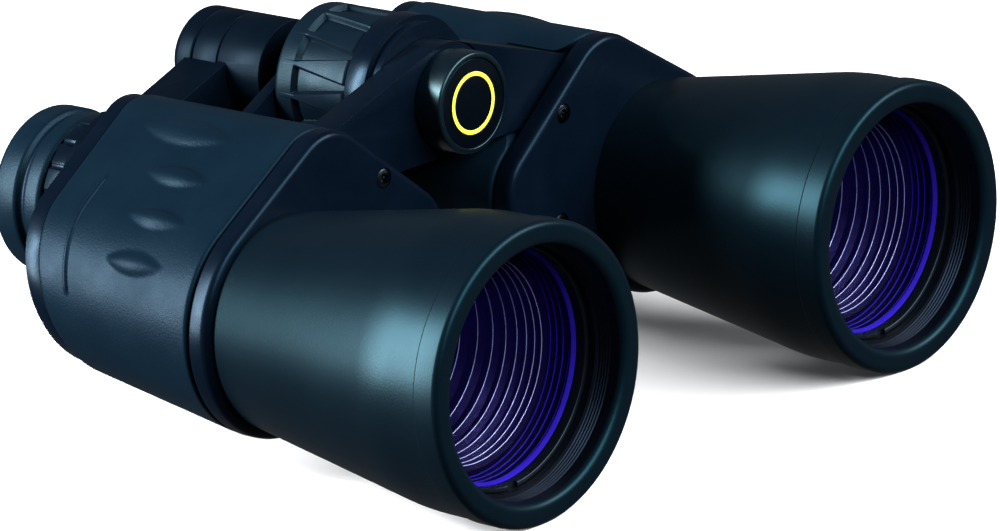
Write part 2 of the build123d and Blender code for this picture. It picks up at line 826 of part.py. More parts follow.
# Eyepiece barrels: nose and body, with a fixed collar on the left in place of the dioptre ring
eyepiece_axis = along_y(eyepiece_x, eyepiece_z)
nose_front = barrel_front - nose_length
nose_bore = nose_radius - nose_wall
barrel_bore = barrel_radius - barrel_wall
cell_front = ring_rear - cell_insert
bore_step = cell_front - dioptre_travel - face_gap
with BuildPart() as right_barrel:
    with BuildSketch(lathe(eyepiece_x, eyepiece_z)):
        Polygon(
            (nose_bore, nose_front), (nose_radius, nose_front), (nose_radius, barrel_front),
            (barrel_radius, barrel_front), (barrel_radius, ring_rear), (barrel_bore, ring_rear),
            (barrel_bore, bore_step), (nose_bore, bore_step),
            align=None,
        )
    revolve(axis=eyepiece_axis)
save(right_barrel.part, "right_eyepiece_barrel")

with BuildPart() as left_barrel:
    add(flipped(right_barrel.part))
    with BuildSketch(section(ring_front)):
        with Locations((-eyepiece_x, eyepiece_z)):
            Circle(dioptre_ring_radius)
            Circle(barrel_radius - barrel_wall / 2, mode=Mode.SUBTRACT)
    extrude(amount=dioptre_ring_length)
save(left_barrel.part, "left_eyepiece_barrel")

with BuildPart() as dioptre_ring:
    with BuildSketch(section(ring_front)):
        with Locations((eyepiece_x, eyepiece_z)):
            Circle(dioptre_ring_radius)
            Circle(barrel_radius + running, mode=Mode.SUBTRACT)
            with PolarLocations(dioptre_ring_radius + dioptre_notch_radius / 2, dioptre_notches):
                Circle(dioptre_notch_radius, mode=Mode.SUBTRACT)
    extrude(amount=dioptre_ring_length)
save(dioptre_ring.part, "dioptre_ring")

# Eye-lens cell, which slides in the barrel, with its lens and the field lens in the nose
cell_radius = barrel_bore - running
lens_shoulder = eye_lens_station - eye_lens_edge
with BuildPart() as eye_cell:
    with BuildSketch(lathe(eyepiece_x, eyepiece_z)):
        Polygon(
            (cell_radius - cell_wall, cell_front), (cell_radius, cell_front),
            (cell_radius, eyecup_front), (cell_flange_radius, eyecup_front),
            (cell_flange_radius, eye_lens_station), (eye_lens_radius + seat, eye_lens_station),
            (eye_lens_radius + seat, lens_shoulder), (eye_lens_radius - cell_shoulder, lens_shoulder),
            (eye_lens_radius - cell_shoulder, lens_shoulder - cell_shoulder),
            (cell_radius - cell_wall, lens_shoulder - 2 * cell_shoulder),
            align=None,
        )
    revolve(axis=eyepiece_axis)
save_pair(eye_cell.part, "eye_cell")


def small_lens(radius, edge, curve, station):
    """Lens with equal convex faces, its edge starting at a station."""
    depth = sag(curve, radius)
    middle = depth - sag(curve, radius / 2)
    with BuildPart() as lens:
        with BuildSketch(lathe(eyepiece_x, eyepiece_z)):
            with BuildLine():
                ThreePointArc((0, station - depth), (radius / 2, station - middle), (radius, station))
                Line((radius, station), (radius, station + edge))
                ThreePointArc(
                    (radius, station + edge),
                    (radius / 2, station + edge + middle),
                    (0, station + edge + depth),
                )
                Line((0, station + edge + depth), (0, station - depth))
            make_face()
        revolve(axis=eyepiece_axis)
    return lens.part


eye_lens_front = lens_shoulder + seat + rim_drop(
    eye_lens_curve, eye_lens_radius, eye_lens_radius - cell_shoulder
)
save_pair(small_lens(eye_lens_radius, eye_lens_edge, eye_lens_curve, eye_lens_front), "eye_lens")
save_pair(
    small_lens(nose_bore - running, field_lens_edge, field_lens_curve, barrel_front), "field_lens"
)

# Rubber eyecup: two bands with a groove between, a rounded rim and a cup for the eye socket
band_radius = eyecup_radius - eyecup_band_step
groove_station = eyecup_front + eyecup_front_band
cup_floor = eye_lens_station + seat
cup_floor_rear = cup_floor + eyecup_floor
lip_width = eyecup_radius - eyecup_mouth_radius - eyecup_lip_flat
diagonal = sqrt(0.5)
with BuildPart() as eyecup:
    with BuildSketch(lathe(eyepiece_x, eyepiece_z)):
        with BuildLine():
            Polyline(
                (eyecup_mouth_radius + eyecup_lip_flat, eyecup_rear),
                (eyecup_mouth_radius, eyecup_rear),
                (eyecup_mouth_radius, cup_floor_rear),
                (eyecup_floor_radius, cup_floor_rear),
                (eyecup_floor_radius, cup_floor),
                (cell_flange_radius + seat, cup_floor),
                (cell_flange_radius + seat, eyecup_front),
                (band_radius - eyecup_groove, eyecup_front),
                (band_radius, eyecup_front + eyecup_groove),
                (band_radius, groove_station - eyecup_groove / 2),
                (band_radius - eyecup_groove, groove_station),
                (eyecup_radius, groove_station + eyecup_groove),
                (eyecup_radius, eyecup_rear - eyecup_lip),
            )
            ThreePointArc(
                (eyecup_radius, eyecup_rear - eyecup_lip),
                (eyecup_radius - lip_width * (1 - diagonal), eyecup_rear - eyecup_lip * (1 - diagonal)),
                (eyecup_radius - lip_width, eyecup_rear),
            )
        make_face()
    revolve(axis=eyepiece_axis)
save_pair(eyecup.part, "eyecup")
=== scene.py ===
"""Looks of a pair of Porro-prism binoculars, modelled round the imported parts.

Everything is in metres. +Y points forward to the objectives, +X to the user's right and +Z up.
A station is a distance behind the front rims, so it grows towards the eyes. Right-hand pieces
are described, and a side of -1 mirrors them about the plane x = 0.
"""
import json
import logging
import math
from collections.abc import Sequence
from dataclasses import dataclass, field
from enum import Enum

import bpy
from mathutils import Matrix, Vector


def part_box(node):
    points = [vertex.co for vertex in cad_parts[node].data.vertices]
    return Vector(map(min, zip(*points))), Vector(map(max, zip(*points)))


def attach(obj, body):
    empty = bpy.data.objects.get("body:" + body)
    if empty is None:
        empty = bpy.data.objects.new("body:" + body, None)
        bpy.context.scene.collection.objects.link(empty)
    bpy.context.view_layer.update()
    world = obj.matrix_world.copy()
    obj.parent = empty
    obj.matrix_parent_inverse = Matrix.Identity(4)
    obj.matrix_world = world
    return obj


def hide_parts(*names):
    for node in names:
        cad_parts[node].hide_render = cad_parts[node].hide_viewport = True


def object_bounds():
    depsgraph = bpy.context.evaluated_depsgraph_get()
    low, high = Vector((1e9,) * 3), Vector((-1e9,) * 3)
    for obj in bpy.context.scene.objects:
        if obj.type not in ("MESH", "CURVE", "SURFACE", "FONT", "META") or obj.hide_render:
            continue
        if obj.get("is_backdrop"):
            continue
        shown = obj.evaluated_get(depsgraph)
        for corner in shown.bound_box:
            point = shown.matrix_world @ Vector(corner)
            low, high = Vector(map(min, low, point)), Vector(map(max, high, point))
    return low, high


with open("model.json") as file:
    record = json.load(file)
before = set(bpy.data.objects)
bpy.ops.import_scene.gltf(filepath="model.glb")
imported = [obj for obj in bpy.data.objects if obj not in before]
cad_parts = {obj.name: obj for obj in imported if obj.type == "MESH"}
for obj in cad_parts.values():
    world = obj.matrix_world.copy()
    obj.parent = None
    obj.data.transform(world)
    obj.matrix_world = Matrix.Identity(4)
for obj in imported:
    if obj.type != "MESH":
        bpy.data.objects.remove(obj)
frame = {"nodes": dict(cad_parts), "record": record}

LOG = logging.getLogger("binoculars")
MM = 0.001
PLATE_BAND = 4.9 * MM
# Most of an edge that the rounding of one of its corners may take
EDGE_SHARE = 0.495
# Distances within which corners are merged, and the angle below which faces count as flat
SKIN_MERGE = 0.0001 * MM
COPY_MERGE = 0.002 * MM
FLAT_ANGLE = 0.5
# Angle above which an edge is sharp, in degrees
SHARP_ANGLE = 32.0
Point = tuple[float, float]
Corner = tuple[float, float, float]


class Side(Enum):
    """The two halves; the value is the sign of x."""

    LEFT = -1
    RIGHT = 1

    @property
    def word(self) -> str:
        """Prefix of the side's node names."""
        return self.name.lower()

    @property
    def half(self) -> str:
        """Body that carries the side's housing."""
        return f"{self.word}_half"

    @property
    def ocular(self) -> str:
        """Body that carries the side's eyepiece barrel."""
        return f"{self.word}_ocular"

    @property
    def eye(self) -> str:
        """Body that carries the side's eye lens and eyecup."""
        return "right_eye" if self is Side.RIGHT else "left_ocular"


def half_width(node: str) -> float:
    """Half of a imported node's width, which is a round piece's radius."""
    low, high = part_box(node)
    return (high.x - low.x) / 2


@dataclass(frozen=True)
class Layout:
    """Axes and the front plane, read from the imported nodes."""

    front: float
    rim: float
    objective: Point
    eyepiece: Point
    eyecup: float
    hinge: Point

    @classmethod
    def read(cls) -> "Layout":
        """Measure the right-hand tube and eyecup and the hinge axle."""
        named = ("right_objective_tube", "right_eyecup", "hinge_axle")
        tube, cup, axle = (sum(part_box(node), Vector()) / 2 for node in named)
        return cls(
            front=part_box("right_objective_tube")[1].y,
            rim=half_width("right_objective_tube"),
            objective=(tube.x, tube.z),
            eyepiece=(cup.x, cup.z),
            eyecup=half_width("right_eyecup"),
            hinge=(0.0, axle.z),
        )

    def span(self, node: str) -> Point:
        """Front and rear station of a node.

        Args:
            node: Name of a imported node.

        Returns:
            The two stations, in metres.
        """
        low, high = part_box(node)
        return self.front - high.y, self.front - low.y

    def at(self, x: float, station: float, z: float) -> Vector:
        """Point in the frame at a station."""
        return Vector((x, self.front - station, z))


LAYOUT = Layout.read()


# Shaping helpers

def clear_selection() -> None:
    """Leave edit mode and deselect everything."""
    if bpy.context.object and bpy.context.object.mode != "OBJECT":
        bpy.ops.object.mode_set(mode="OBJECT")
    bpy.ops.object.select_all(action="DESELECT")


def pick(piece: bpy.types.Object) -> None:
    """Make one object the only selected and the active one."""
    clear_selection()
    piece.select_set(True)
    bpy.context.view_layer.objects.active = piece


def tidy(piece: bpy.types.Object, caps: bool) -> None:
    """Merge doubles, close open ends if asked, and turn the faces outwards.

    Args:
        piece: Mesh object to tidy.
        caps: Whether open rims are filled.
    """
    pick(piece)
    bpy.ops.object.mode_set(mode="EDIT")
    bpy.ops.mesh.select_all(action="SELECT")
    bpy.ops.mesh.remove_doubles(threshold=SKIN_MERGE)
    bpy.ops.mesh.dissolve_degenerate(threshold=SKIN_MERGE)
    if caps:
        bpy.ops.mesh.select_all(action="SELECT")
        bpy.ops.mesh.fill_holes(sides=0)
    bpy.ops.mesh.select_all(action="SELECT")
    bpy.ops.mesh.normals_make_consistent(inside=False)
    bpy.ops.object.mode_set(mode="OBJECT")


def shade(piece: bpy.types.Object, angle: float = SHARP_ANGLE) -> None:
    """Shade smooth but for edges sharper than an angle in degrees."""
    pick(piece)
    bpy.ops.object.shade_smooth_by_angle(angle=math.radians(angle))


def skin(
    name: str, rings: Sequence[Sequence[Vector]], closed: bool, caps: bool = False
) -> bpy.types.Object:
    """Move a grid primitive's corners onto rings of points, so that it forms a tube.

    Args:
        name: Name of the new object.
        rings: Rings with equal numbers of points.
        closed: Whether the last ring joins the first.
        caps: Whether the open ends are filled.

    Returns:
        The new mesh object, at the origin.
    """
    columns = len(rings[0])
    rows = len(rings) if closed else len(rings) - 1
    clear_selection()
    bpy.ops.mesh.primitive_grid_add(x_subdivisions=columns, y_subdivisions=rows, size=2)
    piece = bpy.context.object
    piece.name = name
    for corner in piece.data.vertices:
        column = round((corner.co.x + 1) / 2 * columns) % columns
        row = round((corner.co.y + 1) / 2 * rows) % len(rings)
        corner.co = rings[row][column]
    tidy(piece, caps)
    return piece


def softened(corners: Sequence[Corner], closed: bool, steps: int = 5) -> list[Point]:
    """Round the corners of an outline.

    Args:
        corners: Points as (across, along, rounding radius).
        closed: Whether the last corner joins the first.
        steps: Segments in each rounded corner.

    Returns:
        The outline's points.
    """
    points: list[Point] = []
    count = len(corners)
    for i, (across, along, radius) in enumerate(corners):
        end = not closed and i in (0, count - 1)
        if radius <= 0 or end:
            points.append((across, along))
            continue
        here = Vector((across, along))
        back = Vector(corners[i - 1][:2]) - here
        ahead = Vector(corners[(i + 1) % count][:2]) - here
        half = back.angle(ahead) / 2
        reach = min(radius / math.tan(half), EDGE_SHARE * back.length, EDGE_SHARE * ahead.length)
        radius = reach * math.tan(half)
        middle = (back.normalized() + ahead.normalized()).normalized()
        centre = here + middle * (radius / math.sin(half))
        start = here + back.normalized() * reach - centre
        stop = here + ahead.normalized() * reach - centre
        turn = start.angle_signed(stop)
        for step in range(steps + 1):
            arm = start.copy()
            arm.rotate(Matrix.Rotation(-turn * step / steps, 2))
            points.append(tuple(centre + arm))
    return points


def quarter_turn(steps: int) -> list[float]:
    """Evenly spaced angles from 0 to a right angle."""
    return [math.pi / 2 * step / steps for step in range(steps + 1)]


def turned(
    name: str, axis: Point, outline: Sequence[Point], closed: bool, around: int = 144, caps: bool = False
) -> bpy.types.Object:
    """Turn an outline of (radius, station) about an axis along Y.

    Args:
        name: Name of the new object.
        axis: The axis as (x, z).
        outline: Points of the outline.
        closed: Whether the outline is a closed loop.
        around: Segments in a full turn.
        caps: Whether the open ends are filled.

    Returns:
        The new mesh object.
    """
    angles = [2 * math.pi * i / around for i in range(around)]
    rings = [
        [LAYOUT.at(axis[0] + radius * math.cos(a), station, axis[1] + radius * math.sin(a)) for a in angles]
        for radius, station in outline
    ]
    return skin(name, rings, closed, caps)


def cad_copy(node: str, name: str) -> bpy.types.Object:
    """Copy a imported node's mesh into a new object and merge its triangles."""
    piece = bpy.data.objects.new(name, frame["nodes"][node].data.copy())
    bpy.context.scene.collection.objects.link(piece)
    piece.data.materials.clear()
    pick(piece)
    bpy.ops.object.mode_set(mode="EDIT")
    bpy.ops.mesh.select_all(action="SELECT")
    bpy.ops.mesh.remove_doubles(threshold=COPY_MERGE)
    bpy.ops.mesh.dissolve_limited(angle_limit=math.radians(FLAT_ANGLE))
    bpy.ops.object.mode_set(mode="OBJECT")
    return piece


def apply_modifier(piece: bpy.types.Object, kind: str, **settings: object) -> None:
    """Add a modifier with its settings and apply it."""
    pick(piece)
    modifier = piece.modifiers.new(kind.title(), kind)
    for key, value in settings.items():
        setattr(modifier, key, value)
    bpy.ops.object.modifier_apply(modifier=modifier.name)


def bevelled(piece: bpy.types.Object, width: float) -> None:
    """Round every sharp edge, and shade the piece smooth."""
    apply_modifier(
        piece, "BEVEL", width=width, segments=3, limit_method="ANGLE",
        angle_limit=math.radians(SHARP_ANGLE), harden_normals=False, use_clamp_overlap=True,
        miter_outer="MITER_ARC",
    )
    shade(piece)


def cut(piece: bpy.types.Object, cutters: Sequence[bpy.types.Object]) -> None:
    """Cut other objects out of a piece and remove them."""
    for cutter in cutters:
        apply_modifier(piece, "BOOLEAN", operation="DIFFERENCE", object=cutter, solver="EXACT")
        bpy.data.objects.remove(cutter, do_unlink=True)


def joined(pieces: Sequence[bpy.types.Object], name: str) -> bpy.types.Object:
    """Join objects into one."""
    clear_selection()
    for piece in pieces:
        piece.select_set(True)
    bpy.context.view_layer.objects.active = pieces[0]
    bpy.ops.object.join()
    pieces[0].name = name
    return pieces[0]


def settle(
    piece: bpy.types.Object, finish: "Finish", body: str, nodes: Sequence[str]
) -> None:
    """Give a new piece its finish and let it ride on a body.

    Args:
        piece: The finished mesh object.
        finish: Its finish.
        body: Body that carries it.
        nodes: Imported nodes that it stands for.
    """
    piece.data.materials.clear()
    piece.data.materials.append(finish.material())
    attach(piece, body)
    if nodes:
        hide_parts(*nodes)
    LOG.info("%s rides on %s: %d faces", piece.name, body, len(piece.data.polygons))


def soften_node(
    node: str, name: str, width: float, finish: "Finish", body: str
) -> None:
    """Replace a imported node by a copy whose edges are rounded.

    Args:
        node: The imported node.
        name: Name of the copy.
        width: Width of the rounding.
        finish: Finish of the copy.
        body: Body that carries it.
    """
    piece = cad_copy(node, name)
    bevelled(piece, width)
    settle(piece, finish, body, [node])


def dress(node: str, finish: "Finish") -> None:
    """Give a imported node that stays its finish."""
    slots = frame["nodes"][node].data.materials
    slots.clear()
    slots.append(finish.material())


# Finishes

def linear(colour: str) -> tuple[float, float, float, float]:
    """Turn an sRGB hex colour into linear values with full alpha."""
    values = []
    for i in (1, 3, 5):
        share = int(colour[i:i + 2], 16) / 255
        values.append(share / 12.92 if share <= 0.04045 else ((share + 0.055) / 1.055) ** 2.4)
    return (*values, 1.0)


def add_node(
    tree: bpy.types.NodeTree, kind: str, values: dict | None = None, links: dict | None = None,
    **settings: object,
) -> bpy.types.Node:
    """Add a shader node with its settings, socket values and links.

    Args:
        tree: Node tree of the material.
        kind: Type of the node.
        values: Socket values by input name or index.
        links: Output sockets by input name or index.
        **settings: Attributes of the node.

    Returns:
        The new node.
    """
    node = tree.nodes.new(kind)
    for key, value in settings.items():
        setattr(node, key, value)
    for key, value in (values or {}).items():
        node.inputs[key].default_value = value
    for key, socket in (links or {}).items():
        tree.links.new(socket, node.inputs[key])
    return node


@dataclass(frozen=True)
class Finish:
    """A surface: colour with broad mottling, fine grain as relief, and uneven gloss.

    Sizes of grain, mottling and relief are in metres. Shine and tint set the strength and the
    colour of the reflections of surfaces that aren't metal; a shine of 0.5 is a clean surface's.
    """

    name: str
    colour: str
    shade: str
    roughness: float
    gloss_spread: float = 0.06
    metallic: float = 0.0
    ior: float = 1.5
    shine: float = 0.1
    tint: str = "#ffffff"
    grain: float = 0.5 * MM
    relief: float = 0.02 * MM
    mottle: float = 9.0 * MM
    alpha: float = 1.0

    def material(self) -> bpy.types.Material:
        """Material of this finish, made on first use."""
        made = bpy.data.materials.get(self.name)
        if made:
            return made
        made = bpy.data.materials.new(self.name)
        made.use_nodes = True
        tree = made.node_tree
        tree.nodes.clear()
        place = add_node(tree, "ShaderNodeTexCoord").outputs["Object"]
        broad = add_node(
            tree, "ShaderNodeTexNoise", {"Scale": 1 / self.mottle, "Detail": 3.0, "Roughness": 0.55},
            {"Vector": place},
        )
        fine = add_node(
            tree, "ShaderNodeTexNoise", {"Scale": 1 / self.grain, "Detail": 2.0, "Roughness": 0.6},
            {"Vector": place},
        )
        colour = add_node(
            tree, "ShaderNodeMix", {6: linear(self.colour), 7: linear(self.shade)},
            {0: broad.outputs["Fac"]}, data_type="RGBA",
        )
        gloss = add_node(
            tree, "ShaderNodeMapRange",
            {"From Min": 0.3, "From Max": 0.7, "To Min": self.roughness - self.gloss_spread,
             "To Max": self.roughness + self.gloss_spread},
            {"Value": broad.outputs["Fac"]},
        )
        bump = add_node(
            tree, "ShaderNodeBump", {"Strength": 1.0, "Distance": self.relief},
            {"Height": fine.outputs["Fac"]},
        )
        surface = add_node(
            tree, "ShaderNodeBsdfPrincipled",
            {"Metallic": self.metallic, "IOR": self.ior, "Alpha": self.alpha,
             "Specular IOR Level": self.shine, "Specular Tint": linear(self.tint)},
            {"Base Color": colour.outputs[2], "Roughness": gloss.outputs["Result"],
             "Normal": bump.outputs["Normal"]},
        )
        add_node(tree, "ShaderNodeOutputMaterial", None, {"Surface": surface.outputs["BSDF"]})
        return made


# Typical values, matched to the object: its dark faces reflect weakly, so their shines are low. The
# grain of turned, ground, moulded and spark-eroded faces is too fine to show and is drawn coarser.
# Armour: moulded soft rubber, matte, with a fine leathery grain that breaks up the highlights
ARMOUR_RUBBER = Finish(
    "moulded_armour_rubber", "#04101a", "#071520", 0.42, shine=0.07, tint="#8cd0ff", grain=0.55 * MM,
    relief=0.05 * MM, mottle=14 * MM,
)
# Housings, plates and hinge arms: satin black paint on die-cast aluminium, with a little orange peel
SATIN_PAINT = Finish(
    "satin_black_paint", "#020710", "#040b16", 0.3, shine=0.085, tint="#8cd0ff", grain=0.9 * MM,
    relief=0.012 * MM,
)
# Ocular bridge: the same casting's paint, duller and finely textured; its darker colour and weaker shine
# are painted shade, as the bridge lies in the body's shadow
BRIDGE_PAINT_WITH_PAINTED_SHADE = Finish(
    "dull_black_paint", "#02060d", "#030912", 0.42, shine=0.04, tint="#8cd0ff", grain=0.5 * MM,
    relief=0.02 * MM,
)
# Hoods: moulded polycarbonate with a spark-eroded, softly satin face
HOOD_PLASTIC = Finish(
    "satin_moulded_polycarbonate", "#020910", "#040c14", 0.36, 0.02, shine=0.13, tint="#70dafa",
    grain=0.45 * MM, relief=0.016 * MM, mottle=20 * MM,
)
# Inside of the hoods: the same plastic, flat black
BORE_BLACK = Finish(
    "flat_black_hood_bore", "#020305", "#030408", 0.4, shine=0.19, tint="#a0c8ff", grain=0.4 * MM,
    relief=0.01 * MM,
)
# Turned rings and cells: black anodised aluminium, finely turned and dull
BLACK_ANODISED = Finish(
    "black_anodised_aluminium", "#04060a", "#070a0f", 0.3, shine=0.25, tint="#9cc8e8", grain=0.3 * MM,
    relief=0.008 * MM,
)
# Inside of the tubes: flat black plastic that the lens tinges violet
BAFFLE_BLACK = Finish(
    "flat_black_baffle_plastic", "#020108", "#040312", 0.4, shine=0.12, tint="#8078ff", grain=0.4 * MM,
    relief=0.004 * MM,
)
# Turned crests of the baffles: their near-white colour is a painted highlight, which shows as thin bright
# arcs
CREST_PAINTED_HIGHLIGHT = Finish(
    "bare_turned_crest", "#c0c8f8", "#9098f0", 0.3, metallic=0.5, shine=0.5, grain=0.3 * MM, relief=0.0,
)
# Objective and eye lenses: glass with a violet-blue anti-reflection coating, see-through and shiny, its
# reflections tinted violet; the faint violet base colour is a painted reflection of the coating
COATED_GLASS = Finish(
    "violet_coated_glass", "#10055a", "#0c0448", 0.04, gloss_spread=0.01, ior=1.52, shine=0.4,
    tint="#6a4cff", relief=0.0, alpha=0.04,
)
# Inner lenses and prisms: clear polished glass
CLEAR_GLASS = Finish(
    "polished_prism_glass", "#0a0820", "#0e0c2c", 0.03, gloss_spread=0.01, ior=1.57, shine=0.38,
    tint="#8078ff", relief=0.0, alpha=0.04,
)
# Ground bevel round the lens and thin rings at its edges: their violet colour is a painted reflection of
# the coating
LENS_EDGE_PAINTED_VIOLET = Finish("violet_lens_bevel", "#1c1080", "#241690", 0.3, shine=0.25, tint="#8878ff", relief=0.0)
# Screws: dark plated steel
PLATED_STEEL = Finish(
    "dark_plated_steel", "#2c333b", "#39424c", 0.24, metallic=1.0, grain=0.25 * MM, relief=0.004 * MM,
)
# Axle and spindle: ground steel, lightly oiled
GROUND_STEEL = Finish(
    "ground_steel", "#7d8288", "#8f959b", 0.28, metallic=1.0, grain=0.2 * MM, relief=0.003 * MM,
)
# Hinge cap: moulded satin plastic; its disc is glossier
CAP_PLASTIC = Finish(
    "satin_cap_plastic", "#020910", "#040c14", 0.3, shine=0.32, tint="#b0f0ff", grain=0.4 * MM,
    relief=0.01 * MM,
)
DISC_PLASTIC = Finish(
    "gloss_disc_plastic", "#020408", "#04070c", 0.25, tint="#88c0f0", grain=0.5 * MM, relief=0.003 * MM,
)
# Plain inlaid ring on the cap: printed yellow ink
YELLOW_INK = Finish(
    "printed_yellow_ink", "#f4ee50", "#ece444", 0.45, shine=0.25, grain=0.3 * MM, relief=0.004 * MM,
)
# Focus wheel and eyecups: moulded rubber, a little shinier on the wheel where fingers rub
WHEEL_RUBBER = Finish(
    "moulded_wheel_rubber", "#040d15", "#07121c", 0.38, shine=0.085, tint="#a0e0ff", grain=0.35 * MM,
    relief=0.03 * MM,
)
EYECUP_RUBBER = Finish(
    "matte_eyecup_rubber", "#04101a", "#071520", 0.4, tint="#98d8ff", grain=0.45 * MM, relief=0.04 * MM,
)
# Dioptre ring: moulded satin plastic
RING_PLASTIC = Finish(
    "satin_ring_plastic", "#020710", "#040b16", 0.3, tint="#98d8ff", grain=0.35 * MM, relief=0.012 * MM,
)
# Floor: plain pale matte paper
FLOOR_PAPER = Finish(
    "pale_paper_floor", "#f4f5f6", "#f1f2f4", 0.9, gloss_spread=0.02, grain=2.0 * MM, relief=0.0,
    mottle=600 * MM,
)


# Sub-assemblies

@dataclass(frozen=True)
class LobedForm:
    """The tapered three-lobed outline that the plates, armour and covers share.

    A lobe is (outwards from the objective axis, height above it, radius). The lobes change evenly
    from the housing's front to a station lobe_run behind it.
    """

    front_lobes: tuple[Corner, ...] = (
        (0.0, 0.0, 25.3 * MM), (-16.0 * MM, 24.6 * MM, 12.6 * MM), (-38.5 * MM, 7.1 * MM, 12.2 * MM),
    )
    rear_lobes: tuple[Corner, ...] = (
        (4.8 * MM, 5.5 * MM, 19.9 * MM), (-16.0 * MM, 24.6 * MM, 12.6 * MM),
        (-38.5 * MM, 7.1 * MM, 12.2 * MM),
    )
    housing_front: float = LAYOUT.span("right_front_plate")[0] + PLATE_BAND
    lobe_run: float = 52.3 * MM
    arc_steps: tuple[int, ...] = (120, 30, 40)
    line_steps: tuple[int, ...] = (50, 40, 50)

    def lobes(self, station: float, inset: float) -> list[Corner]:
        """Lobes at a station, drawn in by an inset, as (x, z, radius)."""
        share = (station - self.housing_front) / self.lobe_run
        found = []
        for front, rear in zip(self.front_lobes, self.rear_lobes):
            out, rise, radius = (a + (b - a) * share for a, b in zip(front, rear))
            found.append((LAYOUT.objective[0] + out, LAYOUT.objective[1] + rise, radius - inset))
        return found

    def outline(self, station: float, inset: float) -> list[Point]:
        """Tight band round the lobes at a station.

        Args:
            station: Station of the section.
            inset: Distance inside the full outline.

        Returns:
            Points (x, z), always as many and in the same order.
        """
        return band(self.lobes(station, inset), self.arc_steps, self.line_steps)


def band(circles: Sequence[Corner], arc_steps: Sequence[int], line_steps: Sequence[int]) -> list[Point]:
    """Tight band round circles given anticlockwise.

    Args:
        circles: Circles as (x, z, radius).
        arc_steps: Points on each circle's arc.
        line_steps: Points on the straight that leaves each circle.

    Returns:
        Points (x, z) of the band.
    """
    count = len(circles)
    leaves = []
    for i, (x0, z0, r0) in enumerate(circles):
        x1, z1, r1 = circles[(i + 1) % count]
        heading = math.atan2(z1 - z0, x1 - x0)
        leaves.append(heading - math.pi / 2 + math.asin((r0 - r1) / math.hypot(x1 - x0, z1 - z0)))
    points = []
    for i, (x, z, r) in enumerate(circles):
        x1, z1, r1 = circles[(i + 1) % count]
        arrive = leaves[i - 1]
        sweep = (leaves[i] - arrive) % (2 * math.pi)
        for step in range(arc_steps[i]):
            angle = arrive + sweep * step / arc_steps[i]
            points.append((x + r * math.cos(angle), z + r * math.sin(angle)))
        start = Vector((x + r * math.cos(leaves[i]), z + r * math.sin(leaves[i])))
        stop = Vector((x1 + r1 * math.cos(leaves[i]), z1 + r1 * math.sin(leaves[i])))
        for step in range(line_steps[i]):
            points.append(tuple(start.lerp(stop, step / line_steps[i])))
    return points


FORM = LobedForm()
# Points on each arc, straight and flare of a bar
BAR_ARC = 24
BAR_LINE = 6
BAR_FLARE = 12


def bar(
    name: str, circles: Sequence[Corner], front: float, rear: float, mouth: float, flare: float
) -> bpy.types.Object:
    """Bar whose section is the tight band round circles, with a rounded flare at a mouth.

    Args:
        name: Name of the new object.
        circles: Circles as (x, z, radius).
        front: Station of the front end.
        rear: Station of the rear end.
        mouth: Station of the mouth from which the flare narrows rearwards.
        flare: Radius of the flare.

    Returns:
        The new mesh object.
    """
    stations = [(front, 0.0)]
    if front < mouth:
        stations = [(front, flare), (mouth, flare)]
        for step in range(1, BAR_FLARE + 1):
            run = flare * step / BAR_FLARE
            stations.append((mouth + run, flare - math.sqrt(flare ** 2 - (flare - run) ** 2)))
    stations.append((rear, 0.0))
    arcs, lines = [BAR_ARC] * len(circles), [BAR_LINE] * len(circles)
    rings = []
    for station, grow in stations:
        grown = [(x, z, r + grow) for x, z, r in circles]
        rings.append([LAYOUT.at(x, station, z) for x, z in band(grown, arcs, lines)])
    return skin(name, rings, closed=False, caps=True)


def peg(name: str, axis: Point, radius: float, front: float, rear: float) -> bpy.types.Object:
    """Round cutter along Y between two stations."""
    return turned(name, axis, [(radius, front), (radius, rear)], closed=False, around=64, caps=True)


